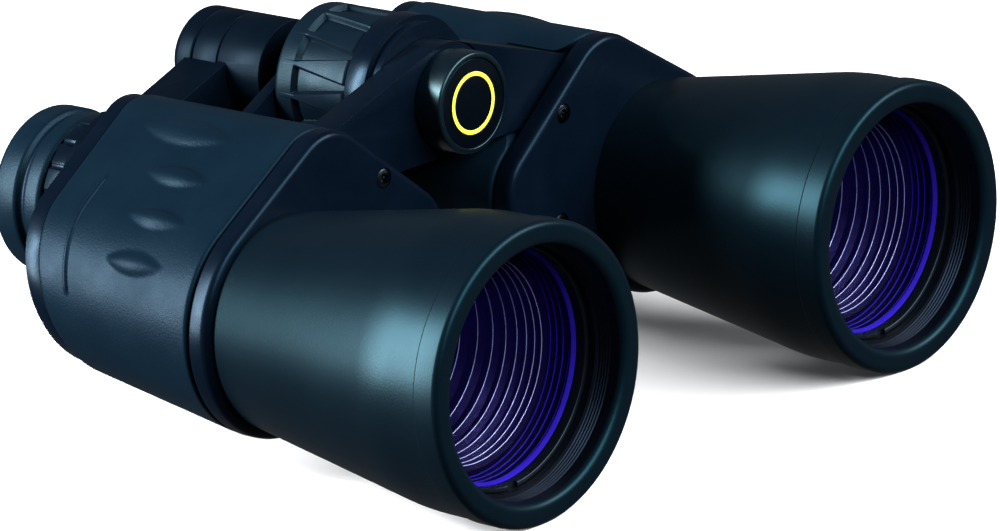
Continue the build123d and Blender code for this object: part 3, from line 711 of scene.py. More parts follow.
@dataclass
class Objective:
    """One objective: hooded tube, retaining ring, coated lens and ridged baffle sleeve."""

    side: Side
    lip_outer: float = 1.5 * MM
    lip_inner: float = 2.4 * MM
    bead: float = 6.0 * MM
    bead_step: float = 0.4 * MM
    bead_round: float = 0.25 * MM
    hood_length: float = 18.3 * MM
    hood_blend: float = 60.0 * MM
    root_radius: float = 23.2 * MM
    root_round: float = 0.2 * MM
    spigot_radius: float = 21.4 * MM
    tube_wall: float = 3.4 * MM
    thread_pitch: float = 0.75 * MM
    thread_depth: float = 0.2 * MM
    thread_turns: int = 5
    thread_land: float = 0.2
    thread_flank: float = 0.3
    fit: float = 0.05 * MM
    lens_room: float = 0.1 * MM
    lens_seat: float = 1.8 * MM
    front_curve: float = 150.0 * MM
    crown_edge: float = 1.8 * MM
    first_pitch: float = 1.7 * MM
    pitch_growth: float = 1.17
    ridge_height: float = 1.1 * MM
    ridge_crest: float = 0.18 * MM
    sleeve_wall: float = 0.8 * MM
    sleeve_room: float = 0.1 * MM
    crest_place: float = 0.3
    lens_rim: float = 0.9 * MM
    dome_steps: int = 24
    bevel_width: float = 0.8 * MM
    bevel_length: float = 0.9 * MM
    bevel_round: float = 0.2 * MM
    edge_rings: int = 4
    edge_step: float = 0.1 * MM
    edge_wire: float = 0.13 * MM
    wire_sides: int = 8
    ring_rounds: Point = (0.25 * MM, 0.35 * MM)
    notch: Corner = (3.0 * MM, 1.8 * MM, 4.0 * MM)

    def __post_init__(self) -> None:
        """Read the axis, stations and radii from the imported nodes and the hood's mount."""
        word = self.side.word
        self.axis = (self.side.value * LAYOUT.objective[0], LAYOUT.objective[1])
        self.tube_front, self.tube_rear = LAYOUT.span(f"{word}_objective_tube")
        self.ring_front, self.ring_rear = LAYOUT.span(f"{word}_retaining_ring")
        self.plate_front = LAYOUT.span(f"{word}_front_plate")[0]
        self.flint_rear = LAYOUT.span(f"{word}_objective_flint")[1]
        self.ring_radius = half_width(f"{word}_retaining_ring")
        self.lens_radius = half_width(f"{word}_objective_crown")
        mounts = {m["name"]: m for m in frame["record"]["mounts"]}
        bore = mounts[f"{word}_hood_bore"]["dims"]
        self.bore_radius = bore["r_mm"] * MM
        self.bore_length = bore["length_mm"] * MM

    def tube(self) -> None:
        """Flared hood with a rounded lip, a fine step behind it and a thread in its bore."""
        hood = LAYOUT.rim - self.bead_step
        bore_end = self.lip_inner + self.bore_length
        thread_radius = self.ring_radius + self.fit
        lens_bore = self.lens_radius + self.fit
        seat = self.flint_rear + self.lens_room
        seat_radius = self.lens_radius - self.lens_seat
        corners = [
            (self.bore_radius, 0.0, self.lip_inner),
            (LAYOUT.rim, 0.0, self.lip_outer),
            (LAYOUT.rim, self.bead, self.bead_round),
            (hood, self.bead + self.bead_step, self.bead_round),
            (hood, self.hood_length, self.hood_blend),
            (self.root_radius, self.plate_front, self.root_round),
            (self.spigot_radius, self.plate_front, 0.0),
            (self.spigot_radius, self.tube_rear, 0.0),
            (self.root_radius - self.tube_wall, self.tube_rear, 0.0),
            (seat_radius, seat, 0.0),
            (lens_bore, seat, 0.0),
            (lens_bore, self.ring_rear, 0.0),
            (thread_radius, self.ring_rear, 0.0),
            (thread_radius, bore_end, 0.0),
        ]
        for turn in range(self.thread_turns):
            start = bore_end - (turn + self.thread_land) * self.thread_pitch
            flank = self.thread_flank * self.thread_pitch
            corners += [
                (self.bore_radius, start, 0.0),
                (self.bore_radius + self.thread_depth, start - flank, 0.0),
                (self.bore_radius, start - 2 * flank, 0.0),
            ]
        outline = softened(corners, closed=True, steps=12)
        piece = turned(f"{self.side.word}_hood_and_tube", self.axis, outline, True, 192)
        shade(piece, 25)
        settle(piece, HOOD_PLASTIC, self.side.half, [f"{self.side.word}_objective_tube"])
        piece.data.materials.append(BORE_BLACK.material())
        for face in piece.data.polygons:
            station = LAYOUT.front - face.center.y
            radius = math.hypot(face.center.x - self.axis[0], face.center.z - self.axis[1])
            inside = radius < self.bore_radius + self.thread_depth and station > 0.6 * self.lip_inner
            face.material_index = int(inside and station < self.plate_front - MM)

    def ring(self) -> None:
        """Retaining ring with two notches for a spanner."""
        clear = self.lens_radius - self.lens_rim
        corners = [
            (self.ring_radius, self.ring_front, self.ring_rounds[0]),
            (self.ring_radius, self.ring_rear, 0.0),
            (clear, self.ring_rear, 0.0),
            (clear, self.ring_front, self.ring_rounds[1]),
        ]
        piece = turned(f"{self.side.word}_lens_ring", self.axis, softened(corners, True, 3), True)
        for height in (self.axis[1] - self.ring_radius, self.axis[1] + self.ring_radius):
            clear_selection()
            spot = LAYOUT.at(self.axis[0], self.ring_front, height)
            bpy.ops.mesh.primitive_cube_add(size=1, location=spot)
            cutter = bpy.context.object
            cutter.scale = self.notch
            bpy.ops.object.transform_apply(location=True, rotation=True, scale=True)
            cut(piece, [cutter])
        shade(piece)
        node = f"{self.side.word}_retaining_ring"
        settle(piece, BLACK_ANODISED, self.side.half, [node])

    def lens(self) -> None:
        """Coated front lens, with the bevel that shows inside the ring and thin edge rings, painted violet
        as the coating's reflection.
        """
        word = self.side.word
        front = LAYOUT.span(f"{word}_objective_crown")[0]
        outline = []
        for i in range(self.dome_steps + 1):
            radius = self.lens_radius * i / self.dome_steps
            sag = self.front_curve - math.sqrt(self.front_curve ** 2 - radius ** 2)
            outline.append((radius, front + sag))
        edge = outline[-1][1]
        back = edge + self.crown_edge
        outline += [(self.lens_radius, back), (0.0, back)]
        piece = turned(f"{word}_coated_lens", self.axis, outline, False)
        shade(piece, 20)
        settle(piece, COATED_GLASS, self.side.half, [f"{word}_objective_crown"])
        clear = self.lens_radius - self.lens_rim
        corners = [
            (clear, edge, 0.0),
            (clear, edge + self.bevel_length, 0.0),
            (clear - self.bevel_width, edge + self.bevel_length + self.bevel_round, self.bevel_round),
        ]
        rings = [turned(f"{word}_bevel", self.axis, softened(corners, True, 3), True)]
        # Thin hoops at the lens's edges, painted violet as reflections of the coating
        for i in range(self.edge_rings):
            station = back + (self.flint_rear - back) * i / (self.edge_rings - 1)
            rings.append(self.hoop(clear - self.edge_step * i, station, self.edge_wire))
        bevel = joined(rings, f"{word}_lens_bevel")
        shade(bevel)
        settle(bevel, LENS_EDGE_PAINTED_VIOLET, self.side.half, ())

    def hoop(self, radius: float, station: float, wire: float) -> bpy.types.Object:
        """Thin round hoop about the tube's axis."""
        loop = []
        for i in range(self.wire_sides):
            angle = 2 * math.pi * i / self.wire_sides
            loop.append((radius + wire * math.cos(angle), station + wire * math.sin(angle)))
        return turned("hoop", self.axis, loop, True)

    def baffles(self) -> None:
        """Ridged sleeve behind the lens, with thin hoops on its turned crests painted near white as
        highlights.
        """
        word = self.side.word
        front, rear = LAYOUT.span(f"{word}_baffle_sleeve")
        seat_radius = self.lens_radius - self.lens_seat
        root = self.root_radius - self.tube_wall
        slope = (seat_radius - root) / (self.tube_rear - self.flint_rear)

        def bore(station: float) -> float:
            """Bore of the tube at a station, less a little room."""
            return root + slope * (self.tube_rear - station) - self.sleeve_room

        corners = []
        crests = []
        start, pitch = front, self.first_pitch
        while start + pitch < rear:
            crest = start + self.crest_place * pitch
            peak = bore(crest) - self.sleeve_wall - self.ridge_height
            corners += [(bore(start) - self.sleeve_wall, start, 0.0), (peak, crest, 0.0)]
            crests.append(self.hoop(peak, crest, self.ridge_crest / 2))
            start += pitch
            pitch *= self.pitch_growth
        corners += [
            (bore(rear) - self.sleeve_wall, rear, 0.0), (bore(rear), rear, 0.0), (bore(front), front, 0.0),
        ]
        sleeve = turned(f"{word}_ridged_sleeve", self.axis, softened(corners, True), True)
        shade(sleeve, 20)
        settle(sleeve, BAFFLE_BLACK, self.side.half, [f"{word}_baffle_sleeve"])
        # The crest hoops' near-white colour is a painted highlight
        crest = joined(crests, f"{word}_baffle_crests")
        shade(crest, 60)
        settle(crest, CREST_PAINTED_HIGHLIGHT, self.side.half, ())

    def build(self) -> None:
        """Model every piece of the objective."""
        self.tube()
        self.ring()
        self.lens()
        self.baffles()
        dress(f"{self.side.word}_objective_flint", CLEAR_GLASS)


@dataclass
class CrossScrew:
    """Small pan-head screw with a cross recess."""

    radius: float = 2.0 * MM
    dome: float = 0.35 * MM
    height: float = 1.0 * MM
    slot_width: float = 0.55 * MM
    slot_length: float = 2.3 * MM
    slot_depth: float = 0.7 * MM
    crown_inset: float = 0.35

    def head(self, spot: Vector, normal: Vector, turn: float) -> bpy.types.Object:
        """Model one head at a spot, facing along a normal.

        Args:
            spot: Middle of the head's seat rim.
            normal: Direction in which the head faces.
            turn: Angle of the cross, in degrees.

        Returns:
            The new mesh object.
        """
        clear_selection()
        bpy.ops.mesh.primitive_cylinder_add(vertices=32, radius=self.radius, depth=self.height)
        head = bpy.context.object
        bpy.ops.object.mode_set(mode="EDIT")
        bpy.ops.mesh.select_all(action="DESELECT")
        bpy.ops.object.mode_set(mode="OBJECT")
        for face in head.data.polygons:
            face.select = face.normal.z > 0.9
        bpy.ops.object.mode_set(mode="EDIT")
        bpy.ops.mesh.inset(thickness=self.crown_inset * self.radius)
        bpy.ops.transform.translate(value=(0, 0, self.dome))
        bpy.ops.object.mode_set(mode="OBJECT")
        for quarter in (0, 1):
            clear_selection()
            bpy.ops.mesh.primitive_cube_add(size=1, location=(0, 0, self.height / 2 + self.dome))
            slot = bpy.context.object
            slot.scale = (self.slot_length, self.slot_width, 2 * self.slot_depth)
            slot.rotation_euler = (0, 0, math.radians(turn + 90 * quarter))
            bpy.ops.object.transform_apply(location=True, rotation=True, scale=True)
            cut(head, [slot])
        facing = normal.to_track_quat("Z", "Y").to_matrix().to_4x4()
        shift = Matrix.Translation((0, 0, -self.height / 2))
        head.data.transform(Matrix.Translation(spot) @ facing @ shift)
        shade(head, 30)
        return head


# Outlines that are already worked out, by station and inset in steps of the two grids
OUTLINES: dict[tuple[int, int], list[Point]] = {}
STATION_GRID = 0.05 * MM
INSET_GRID = 0.005 * MM


@dataclass
class PrismBody:
    """One prism body: front plate, screws, armour, housing with its hinge arms, and rear cover."""

    side: Side
    plate_round: float = 1.7 * MM
    plate_heel: float = 0.5 * MM
    plate_depth: float = 11.0 * MM
    tube_hole: float = 21.45 * MM
    plate_spots: tuple[Point, ...] = ((-31.9 * MM, 23.2 * MM), (-34.2 * MM, -1.0 * MM))
    screw_recess: float = 2.25 * MM
    recess_depth: float = 1.2 * MM
    screw_seat: float = 0.15 * MM
    screw_turns: Point = (20.0, 55.0)
    armour_length: float = 42.87 * MM
    armour_thickness: float = 1.8 * MM
    armour_edge: float = 0.9 * MM
    rear_slant: float = 13.8
    bumps: tuple[tuple[float, ...], ...] = (
        (-7.4 * MM, 34.0 * MM, 27.5 * MM, 26.0 * MM),
        (3.1 * MM, 28.2 * MM, 21.1 * MM, 17.5 * MM),
        (13.4 * MM, 22.1 * MM, 17.7 * MM, 16.0 * MM),
        (21.4 * MM, 14.3 * MM, 17.3 * MM, 16.0 * MM),
    )
    bump_width: float = 5.4 * MM
    bump_height: float = 1.3 * MM
    bump_reach: float = 6.0 * MM
    arm_root: Corner = (-23.2 * MM, 27.0 * MM, 6.5 * MM)
    arm_radius: float = 12.4 * MM
    lug_root: Corner = (-31.2 * MM, 20.5 * MM, 5.0 * MM)
    lug_radius: float = 8.0 * MM
    lug_depth: float = 3.3 * MM
    left_arm_depth: float = 15.4 * MM
    right_arm_depth: float = 7.3 * MM
    gap: float = 0.3 * MM
    cut_round: float = 4.0 * MM
    rib_setback: float = 8.0 * MM
    rib_width: float = 1.4 * MM
    rib_height: float = 0.5 * MM
    rib_ends: Point = (6.0 * MM, 27.0 * MM)
    housing_round: float = 0.8 * MM
    cover_round: float = 0.4 * MM
    rows: int = 64
    edge_steps: int = 6
    screw: CrossScrew = field(default_factory=CrossScrew)

    def __post_init__(self) -> None:
        """Read the stations of the plate and the armour."""
        self.plate_front = LAYOUT.span(f"{self.side.word}_front_plate")[0]
        self.armour_front = LAYOUT.span(f"{self.side.word}_armour")[0]
        self.rear_edge = self.armour_front + self.armour_length

    def mirrored(self, x: float) -> float:
        """x on this side."""
        return self.side.value * x

    def ring(self, station: float, inset: float) -> list[Vector]:
        """Ring of the lobed outline at a station."""
        return [LAYOUT.at(self.mirrored(x), station, z) for x, z in FORM.outline(station, inset)]

    def plate(self) -> None:
        """Front plate with rounded edges, a hole for the tube and recesses for its screws."""
        front = self.plate_front
        rear = front + PLATE_BAND
        corners = [
            (self.plate_depth, front, 0.0), (0.0, front, self.plate_round),
            (0.0, rear, self.plate_heel), (self.plate_depth, rear, 0.0),
        ]
        rings = [
            [LAYOUT.at(self.mirrored(x), station, z) for x, z in FORM.outline(FORM.housing_front, inset)]
            for inset, station in softened(corners, False, 8)
        ]
        piece = skin(f"{self.side.word}_rounded_plate", rings, closed=False, caps=True)
        axis = (self.mirrored(LAYOUT.objective[0]), LAYOUT.objective[1])
        cutters = [peg("tube_hole", axis, self.tube_hole, front - MM, rear + MM)]
        for out, rise in self.plate_spots:
            spot = (self.mirrored(LAYOUT.objective[0] + out), LAYOUT.objective[1] + rise)
            floor = front + self.recess_depth
            cutters.append(peg("screw_recess", spot, self.screw_recess, front - MM, floor))
        cut(piece, cutters)
        shade(piece, 35)
        settle(piece, SATIN_PAINT, self.side.half, [f"{self.side.word}_front_plate"])

    def screws(self) -> None:
        """Screws of the front plate."""
        heads = []
        for (out, rise), turn in zip(self.plate_spots, self.screw_turns):
            x = self.mirrored(LAYOUT.objective[0] + out)
            spot = LAYOUT.at(x, self.plate_front + self.screw_seat, LAYOUT.objective[1] + rise)
            heads.append(self.screw.head(spot, Vector((0, 1, 0)), turn))
        piece = joined(heads, f"{self.side.word}_plate_screw_heads")
        settle(piece, PLATED_STEEL, self.side.half, [f"{self.side.word}_plate_screws"])

    def rear_station(self, z: float) -> float:
        """Station of the slanted rear edge at a height."""
        return self.rear_edge + (z - LAYOUT.eyepiece[1]) * math.tan(math.radians(self.rear_slant))

    def bump_rise(self, x: float, z: float, station: float) -> float:
        """Height of the finger bumps at a point of the armour's right-hand outline."""
        best = 0.0
        for out, rise, setback, length in self.bumps:
            bump_x = LAYOUT.objective[0] + out
            along = (station - self.armour_front - setback) / (length / 2)
            if abs(along) >= 1:
                continue
            lobe_x, lobe_z, _ = FORM.lobes(self.armour_front + setback, 0)[0]
            bump_z = LAYOUT.objective[1] + rise
            lean = math.atan2(bump_z - lobe_z, bump_x - lobe_x)
            across = (x - bump_x) * -math.sin(lean) + (z - bump_z) * math.cos(lean)
            taper = 1 - along * along
            across /= self.bump_width / 2 * taper
            off = abs((x - bump_x) * math.cos(lean) + (z - bump_z) * math.sin(lean))
            if abs(across) < 1 and off < self.bump_reach:
                best = max(best, self.bump_height * taper * (1 - across * across))
        return best

    def rib_rise(self, x: float, z: float, off: float) -> float:
        """Height of the plain rib along the armour's outer side at a distance from its middle."""
        low, high = self.rib_ends
        rise = z - LAYOUT.objective[1]
        if x < LAYOUT.objective[0] or not low < rise < high:
            return 0.0
        end = min(1.0, (rise - low) / MM, (high - rise) / MM)
        side = min(1.0, max(0.0, 2 - 4 * abs(off) / self.rib_width))
        return self.rib_height * end * side

    def armour(self) -> None:
        """Rubber sleeve with soft edges and almond-shaped finger bumps, cut out round the arms."""
        edge = self.armour_edge
        inside = self.armour_thickness
        length = self.rear_edge - self.armour_front
        shares = [(inside, 0.0)]
        turns = quarter_turn(self.edge_steps)
        for turn in turns:
            shares.append((edge * (1 - math.sin(turn)), edge * (1 - math.cos(turn)) / length))
        first = edge / length
        rib = 1 - self.rib_setback / length
        places = [first + (1 - 2 * first) * row / self.rows for row in range(1, self.rows)]
        places += [rib + self.rib_width * k / 6 / length for k in range(-6, 7)]
        shares += [(0.0, place) for place in sorted(places)]
        for turn in turns:
            shares.append((edge * (1 - math.cos(turn)), 1 - edge * (1 - math.sin(turn)) / length))
        shares.append((inside, 1.0))
        rings = []
        for inset, share in shares:
            ring = []
            guess = FORM.outline(self.armour_front + share * length, inset)
            for i, (x, z) in enumerate(guess):
                for _ in range(3):
                    station = self.armour_front + share * (self.rear_station(z) - self.armour_front)
                    x, z = self.on_form(i, station, inset)
                rise = self.bump_rise(x, z, station) if inset < 0.5 * edge else 0.0
                rise += self.rib_rise(x, z, (share - rib) * length)
                if rise > 0:
                    x, z = self.on_form(i, station, inset - rise)
                ring.append(LAYOUT.at(self.mirrored(x), station, z))
            rings.append(ring)
        piece = skin(f"{self.side.word}_rubber_armour", rings, closed=True)
        cut(piece, self.arm_cutters())
        shade(piece, 40)
        settle(piece, ARMOUR_RUBBER, self.side.half, [f"{self.side.word}_armour"])

    def on_form(self, i: int, station: float, inset: float) -> Point:
        """Point of the outline with a given place in the ring."""
        key = (round(station / STATION_GRID), round(inset / INSET_GRID))
        if key not in OUTLINES:
            OUTLINES[key] = FORM.outline(key[0] * STATION_GRID, key[1] * INSET_GRID)
        return OUTLINES[key][i]

    def arm_cutters(self) -> list[bpy.types.Object]:
        """Solids that leave room for the hinge arms."""
        cutters = []
        housing = LAYOUT.span(f"{self.side.word}_prism_housing")
        for node, root, radius, front, rear in (
            ("arm", self.arm_root, self.arm_radius, 0.0, self.arm_rear()),
            ("lug", self.lug_root, self.lug_radius, housing[1] - self.lug_depth, housing[1] + self.gap),
        ):
            root_x = self.mirrored(LAYOUT.objective[0] + root[0])
            circles = [
                (self.mirrored(LAYOUT.hinge[0]), LAYOUT.hinge[1], radius + self.gap),
                (root_x, LAYOUT.objective[1] + root[1], root[2] + self.gap),
            ]
            if self.side is Side.LEFT:
                circles.reverse()
            cutters.append(bar(f"{node}_room", circles, front, rear, self.armour_front, self.cut_round))
        return cutters

    def arm_rear(self) -> float:
        """Rear of the front arm's room in the armour."""
        depth = self.right_arm_depth if self.side is Side.RIGHT else self.left_arm_depth
        return LAYOUT.span("hinge_cap")[1] + self.gap + depth

    def castings(self) -> None:
        """Housing with its hinge arms, and rear cover, their edges softened as a casting's are."""
        word, body = self.side.word, self.side.half
        for node, width in (("prism_housing", self.housing_round), ("rear_cover", self.cover_round)):
            name = f"{word}_cast_{node.removeprefix('prism_')}"
            soften_node(f"{word}_{node}", name, width, SATIN_PAINT, body)

    def build(self) -> None:
        """Model every piece of the prism body."""
        self.plate()
        self.screws()
        self.armour()
        self.castings()
        for node, finish in (
            ("cover_screws", PLATED_STEEL), ("prism_clips", PLATED_STEEL), ("prism_shelf", BLACK_ANODISED),
            ("front_prism", CLEAR_GLASS), ("rear_prism", CLEAR_GLASS),
        ):
            dress(f"{self.side.word}_{node}", finish)


@dataclass
class HingeCap:
    """Cap on the front of the hinge, with a plain disc and a thin inlaid ring."""

    round: float = 1.3 * MM
    rim_width: float = 1.4 * MM
    rim_round: float = 0.3 * MM
    well_depth: float = 0.9 * MM
    web_depth: float = 1.7 * MM
    axle_bore: float = 6.02 * MM
    disc_recess: float = 0.25 * MM
    disc_thickness: float = 0.5 * MM
    disc_round: float = 0.2 * MM
    disc_fit: float = 0.05 * MM
    ring_radius: float = 6.4 * MM
    ring_width: float = 0.9 * MM
    ring_round: float = 0.02 * MM
    ring_rise: float = 0.04 * MM
    ring_depth: float = 0.1 * MM

    def build(self) -> None:
        """Model the cap, the disc and the ring."""
        front, rear = LAYOUT.span("hinge_cap")
        radius = half_width("hinge_cap")
        inner = radius - self.rim_width
        corners = [
            (inner, front + self.well_depth, 0.0), (inner, front, self.rim_round),
            (radius, front, self.round), (radius, rear, self.rim_round),
            (self.axle_bore, rear, 0.0), (self.axle_bore, front + self.web_depth, 0.0),
        ]
        cap = turned("rounded_hinge_cap", LAYOUT.hinge, softened(corners, True, 6), True)
        shade(cap)
        settle(cap, CAP_PLASTIC, "left_half", ["hinge_cap"])
        face = front + self.disc_recess
        edge = inner - self.disc_fit
        back = face + self.disc_thickness
        corners = [(0.0, face, 0.0), (edge, face, self.disc_round), (edge, back, 0.0), (0.0, back, 0.0)]
        disc = turned("plain_cap_disc", LAYOUT.hinge, softened(corners, False, 4), False)
        shade(disc)
        settle(disc, DISC_PLASTIC, "left_half", ["hinge_cap_disc"])
        inside = self.ring_radius - self.ring_width / 2
        outside = self.ring_radius + self.ring_width / 2
        top = face - self.ring_rise
        foot = face + self.ring_depth
        corners = [
            (inside, top, self.ring_round), (outside, top, self.ring_round),
            (outside, foot, 0.0), (inside, foot, 0.0),
        ]
        ring = turned("inlaid_ring", LAYOUT.hinge, softened(corners, True, 2), True)
        shade(ring)
        settle(ring, YELLOW_INK, "left_half", ())


@dataclass
class FocusWheel:
    """Rubber-covered wheel with wedge lands in front and a smooth collar behind."""

    lands: int = 14
    collar: float = 5.0 * MM
    groove: float = 1.3 * MM
    front_width: float = 6.2 * MM
    rear_width: float = 1.2 * MM
    flank: float = 0.7 * MM
    edge: float = 1.2 * MM
    bore: float = 6.1 * MM
    rows: int = 36
    steps: int = 6
    edge_steps: int = 6

    def __post_init__(self) -> None:
        """Read the wheel's stations and radius."""
        self.front, self.rear = LAYOUT.span("focus_wheel")
        self.full = half_width("focus_wheel")
        self.land_rear = self.rear - self.collar

    def land(self, station: float) -> list[Point]:
        """One land's columns at a station, which follow its slanting sides.

        Args:
            station: Station of the section.

        Returns:
            Points (angle from the land's middle, depth below the wheel's outside).
        """
        ahead = max(0.0, self.land_rear - station)
        share = ahead / (self.land_rear - self.front)
        half = (self.rear_width + (self.front_width - self.rear_width) * share) / 2
        depth = self.groove * min(1.0, ahead / self.flank)
        pitch = 2 * math.pi / self.lands
        top = (half - self.flank / 2) / self.full
        foot = (half + self.flank / 2) / self.full
        corners = [
            (-pitch / 2, 1.0), (-foot, 1.0), (-top, 0.0), (top, 0.0), (foot, 1.0), (pitch / 2, 1.0),
        ]
        columns = []
        for (start, high), (stop, low) in zip(corners, corners[1:]):
            for step in range(self.steps):
                run = step / self.steps
                fall = high + (low - high) * run
                columns.append((start + (stop - start) * run, depth * fall * fall * (3 - 2 * fall)))
        return columns

    def section(self, station: float, inset: float) -> list[Vector]:
        """Ring of the wheel's outside at a station, drawn in by an inset."""
        ring = []
        for i in range(self.lands):
            for off, depth in self.land(station):
                angle = 2 * math.pi * i / self.lands + off
                radius = self.full - depth - inset
                height = LAYOUT.hinge[1] + radius * math.sin(angle)
                ring.append(LAYOUT.at(radius * math.cos(angle), station, height))
        return ring

    def build(self) -> None:
        """Model the wheel as one skin, with rounded ends and a bore."""
        turns = quarter_turn(self.edge_steps)
        rings = []
        for turn in turns:
            station = self.front + self.edge * (1 - math.cos(turn))
            rings.append(self.section(station, self.edge * (1 - math.sin(turn))))
        lands_front = self.front + self.edge
        run = self.land_rear - lands_front
        for row in range(1, self.rows + 1):
            rings.append(self.section(lands_front + run * row / self.rows, 0.0))
        for turn in turns:
            station = self.rear - self.edge * (1 - math.sin(turn))
            rings.append(self.section(station, self.edge * (1 - math.cos(turn))))
        rear_bore = self.section(self.rear, self.full - self.bore)
        front_bore = [corner + Vector((0, self.rear - self.front, 0)) for corner in rear_bore]
        rings += [rear_bore, front_bore]
        piece = skin("fluted_focus_wheel", rings, closed=True)
        shade(piece, 35)
        settle(piece, WHEEL_RUBBER, "focus_wheel", ["focus_wheel"])


@dataclass
class OcularBridge:
    """Arms from the hinge to the eyepieces, with their hubs, spindle and dome."""

    arm_round: float = 0.8 * MM
    dome_round: float = 0.5 * MM

    def build(self) -> None:
        """Model the arms and the dome."""
        # The bridge paint's darker colour and weaker shine are painted shade
        for side in Side:
            name = f"{side.word}_cast_ocular_arm"
            soften_node(
                f"{side.word}_ocular_arm", name, self.arm_round, BRIDGE_PAINT_WITH_PAINTED_SHADE, side.ocular
            )
        soften_node(
            "bridge_dome", "turned_bridge_dome", self.dome_round, BRIDGE_PAINT_WITH_PAINTED_SHADE, "left_ocular"
        )
        dress("focus_spindle", GROUND_STEEL)
        dress("hinge_axle", GROUND_STEEL)


@dataclass
class Eyepiece:
    """One eyepiece: barrel, eye cell, lenses and the rubber eyecup."""

    side: Side
    front_band: float = 6.1 * MM
    groove: float = 1.3 * MM
    band_step: float = 0.5 * MM
    mouth: float = 15.2 * MM
    sleeve: float = 14.42 * MM
    floor_radius: float = 12.0 * MM
    floor_thickness: float = 1.0 * MM
    floor_round: float = 0.3 * MM
    cell_fit: float = 0.02 * MM
    mouth_round: float = 0.6 * MM
    rim_round: float = 2.6 * MM
    band_round: float = 1.2 * MM
    valley_round: float = 0.8 * MM
    front_round: float = 1.6 * MM
    metal_round: float = 0.25 * MM

    def cup(self) -> None:
        """Eyecup with two soft bands, a rounded rim and a cup for the eye socket."""
        word = self.side.word
        front, rear = LAYOUT.span(f"{word}_eyecup")
        seat = LAYOUT.span(f"{word}_eye_cell")[1] + self.cell_fit
        floor = seat + self.floor_thickness
        axis = (self.side.value * LAYOUT.eyepiece[0], LAYOUT.eyepiece[1])
        full = LAYOUT.eyecup
        band_radius = full - self.band_step
        valley = front + self.front_band
        corners = [
            (self.mouth, rear, self.mouth_round),
            (full, rear, self.rim_round),
            (full, valley + self.groove, self.band_round),
            (band_radius - self.groove, valley, self.valley_round),
            (band_radius, valley - self.groove, self.band_round),
            (band_radius, front, self.front_round),
            (self.sleeve, front, 0.0),
            (self.sleeve, seat, 0.0),
            (self.floor_radius, seat, 0.0),
            (self.floor_radius, floor, self.floor_round),
            (self.mouth, floor, self.mouth_round),
        ]
        piece = turned(f"{word}_rubber_eyecup", axis, softened(corners, True, 8), True)
        shade(piece, 40)
        settle(piece, EYECUP_RUBBER, self.side.eye, [f"{word}_eyecup"])

    def build(self) -> None:
        """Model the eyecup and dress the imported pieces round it."""
        word = self.side.word
        self.cup()
        for part, body in (("eyepiece_barrel", self.side.ocular), ("eye_cell", self.side.eye)):
            node = f"{word}_{part}"
            soften_node(node, f"{node}_softened", self.metal_round, BLACK_ANODISED, body)
        dress(f"{word}_eye_lens", COATED_GLASS)
        dress(f"{word}_field_lens", CLEAR_GLASS)


@dataclass
class DioptreRing:
    """Notched ring that focuses the right eyepiece alone."""

    edge_round: float = 0.3 * MM

    def build(self) -> None:
        """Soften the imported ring's edges."""
        name = "notched_dioptre_ring"
        soften_node("dioptre_ring", name, self.edge_round, RING_PLASTIC, "dioptre_ring")


@dataclass(frozen=True)
class Softbox:
    """Rectangular lamp that shines on the object; way is the direction from the object to it."""

    name: str
    way: Corner
    distance: float
    size: Point
    watts: float


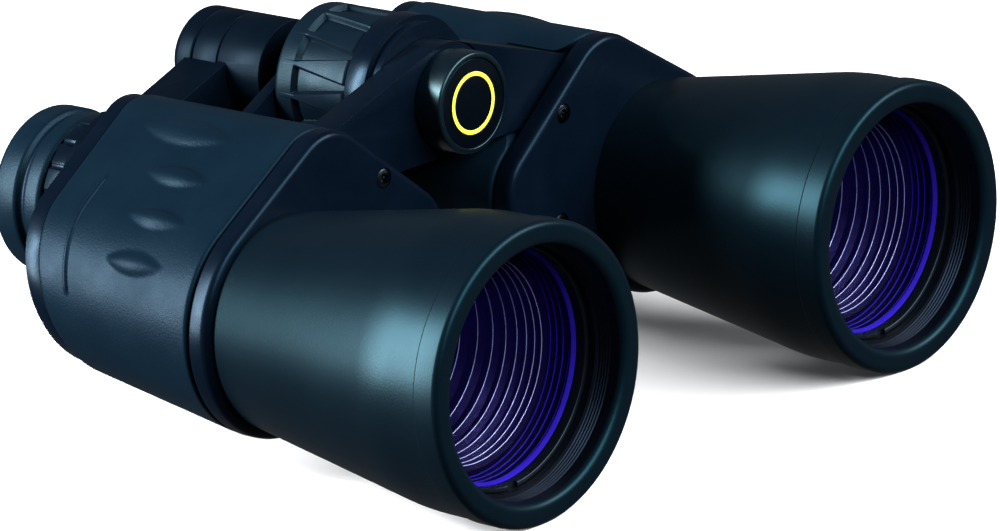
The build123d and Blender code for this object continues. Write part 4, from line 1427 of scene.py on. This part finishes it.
@dataclass
class Studio:
    """Plain pale floor, soft lights and the camera at the photograph's angle."""

    azimuth: float = 131.84
    elevation: float = 16.72
    roll: float = 2.96
    lens_px: float = 6868.0
    image_width: float = 1000.0
    sensor: float = 36.0
    stand: tuple[float, float, float] = (1.0549, 0.8803, 0.4545)
    clip: Point = (0.01, 50.0)
    floor_size: float = 9.0
    aim: Corner = (0.0, 0.0, 0.035)
    lamps: tuple[Softbox, ...] = (
        Softbox("key", (0.74, -0.6, 0.26), 1.2, (0.18, 0.8), 62.0),
        Softbox("front", (-0.2, 0.9, 0.7), 1.5, (2.2, 0.6), 84.0),
    )
    lamp_colour: str = "#ffffff"
    sky_colour: str = "#eef2f6"
    sky_strength: float = 0.12

    def camera(self) -> None:
        """Camera that sees the object as the photograph does."""
        a = math.radians(self.azimuth)
        e = math.radians(self.elevation)
        back = Vector((math.sin(a) * math.cos(e), -math.cos(a) * math.cos(e), math.sin(e)))
        right = Vector((0, 0, 1)).cross(back).normalized()
        up = back.cross(right)
        roll = math.radians(self.roll)
        tilted_right = right * math.cos(roll) - up * math.sin(roll)
        tilted_up = right * math.sin(roll) + up * math.cos(roll)
        clear_selection()
        bpy.ops.object.camera_add()
        camera = bpy.context.object
        turn = Matrix((tilted_right, tilted_up, back)).transposed().to_4x4()
        x, ahead, z = self.stand
        camera.matrix_world = Matrix.Translation(LAYOUT.at(x, -ahead, z)) @ turn
        camera.data.sensor_width = self.sensor
        camera.data.lens = self.lens_px / self.image_width * self.sensor
        camera.data.clip_start, camera.data.clip_end = self.clip
        bpy.context.scene.camera = camera

    def light(self, box: Softbox) -> None:
        """Set up one lamp."""
        clear_selection()
        bpy.ops.object.light_add(type="AREA")
        lamp = bpy.context.object
        lamp.name = box.name
        lamp.data.shape = "RECTANGLE"
        lamp.data.size, lamp.data.size_y = box.size
        lamp.data.energy = box.watts
        lamp.data.color = linear(self.lamp_colour)[:3]
        way = Vector(box.way).normalized()
        facing = way.to_track_quat("Z", "Y").to_matrix().to_4x4()
        lamp.matrix_world = Matrix.Translation(Vector(self.aim) + way * box.distance) @ facing

    def build(self) -> None:
        """Set up the floor, the lights and the camera."""
        clear_selection()
        bpy.ops.mesh.primitive_grid_add(x_subdivisions=8, y_subdivisions=8, size=self.floor_size)
        floor = bpy.context.object
        floor.name = "floor"
        floor.data.transform(Matrix.Translation((0, 0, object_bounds()[0].z)))
        floor.data.materials.append(FLOOR_PAPER.material())
        # The photograph is cut out on white, with no floor to brighten the undersides or the bores
        floor.visible_diffuse = False
        floor.visible_glossy = False
        floor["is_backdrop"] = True
        for box in self.lamps:
            self.light(box)
        world = bpy.data.worlds.new("studio")
        bpy.context.scene.world = world
        world.use_nodes = True
        sky = world.node_tree.nodes["Background"]
        sky.inputs["Color"].default_value = linear(self.sky_colour)
        sky.inputs["Strength"].default_value = self.sky_strength
        bpy.context.scene.view_settings.view_transform = "Standard"
        self.camera()


def main() -> None:
    """Build the sub-assemblies in order and set up the studio."""
    logging.basicConfig(level=logging.INFO, format="%(message)s")
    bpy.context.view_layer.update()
    for side in Side:
        Objective(side).build()
        PrismBody(side).build()
        Eyepiece(side).build()
    HingeCap().build()
    FocusWheel().build()
    OcularBridge().build()
    DioptreRing().build()
    Studio().build()


if __name__ == "__main__":
    main()
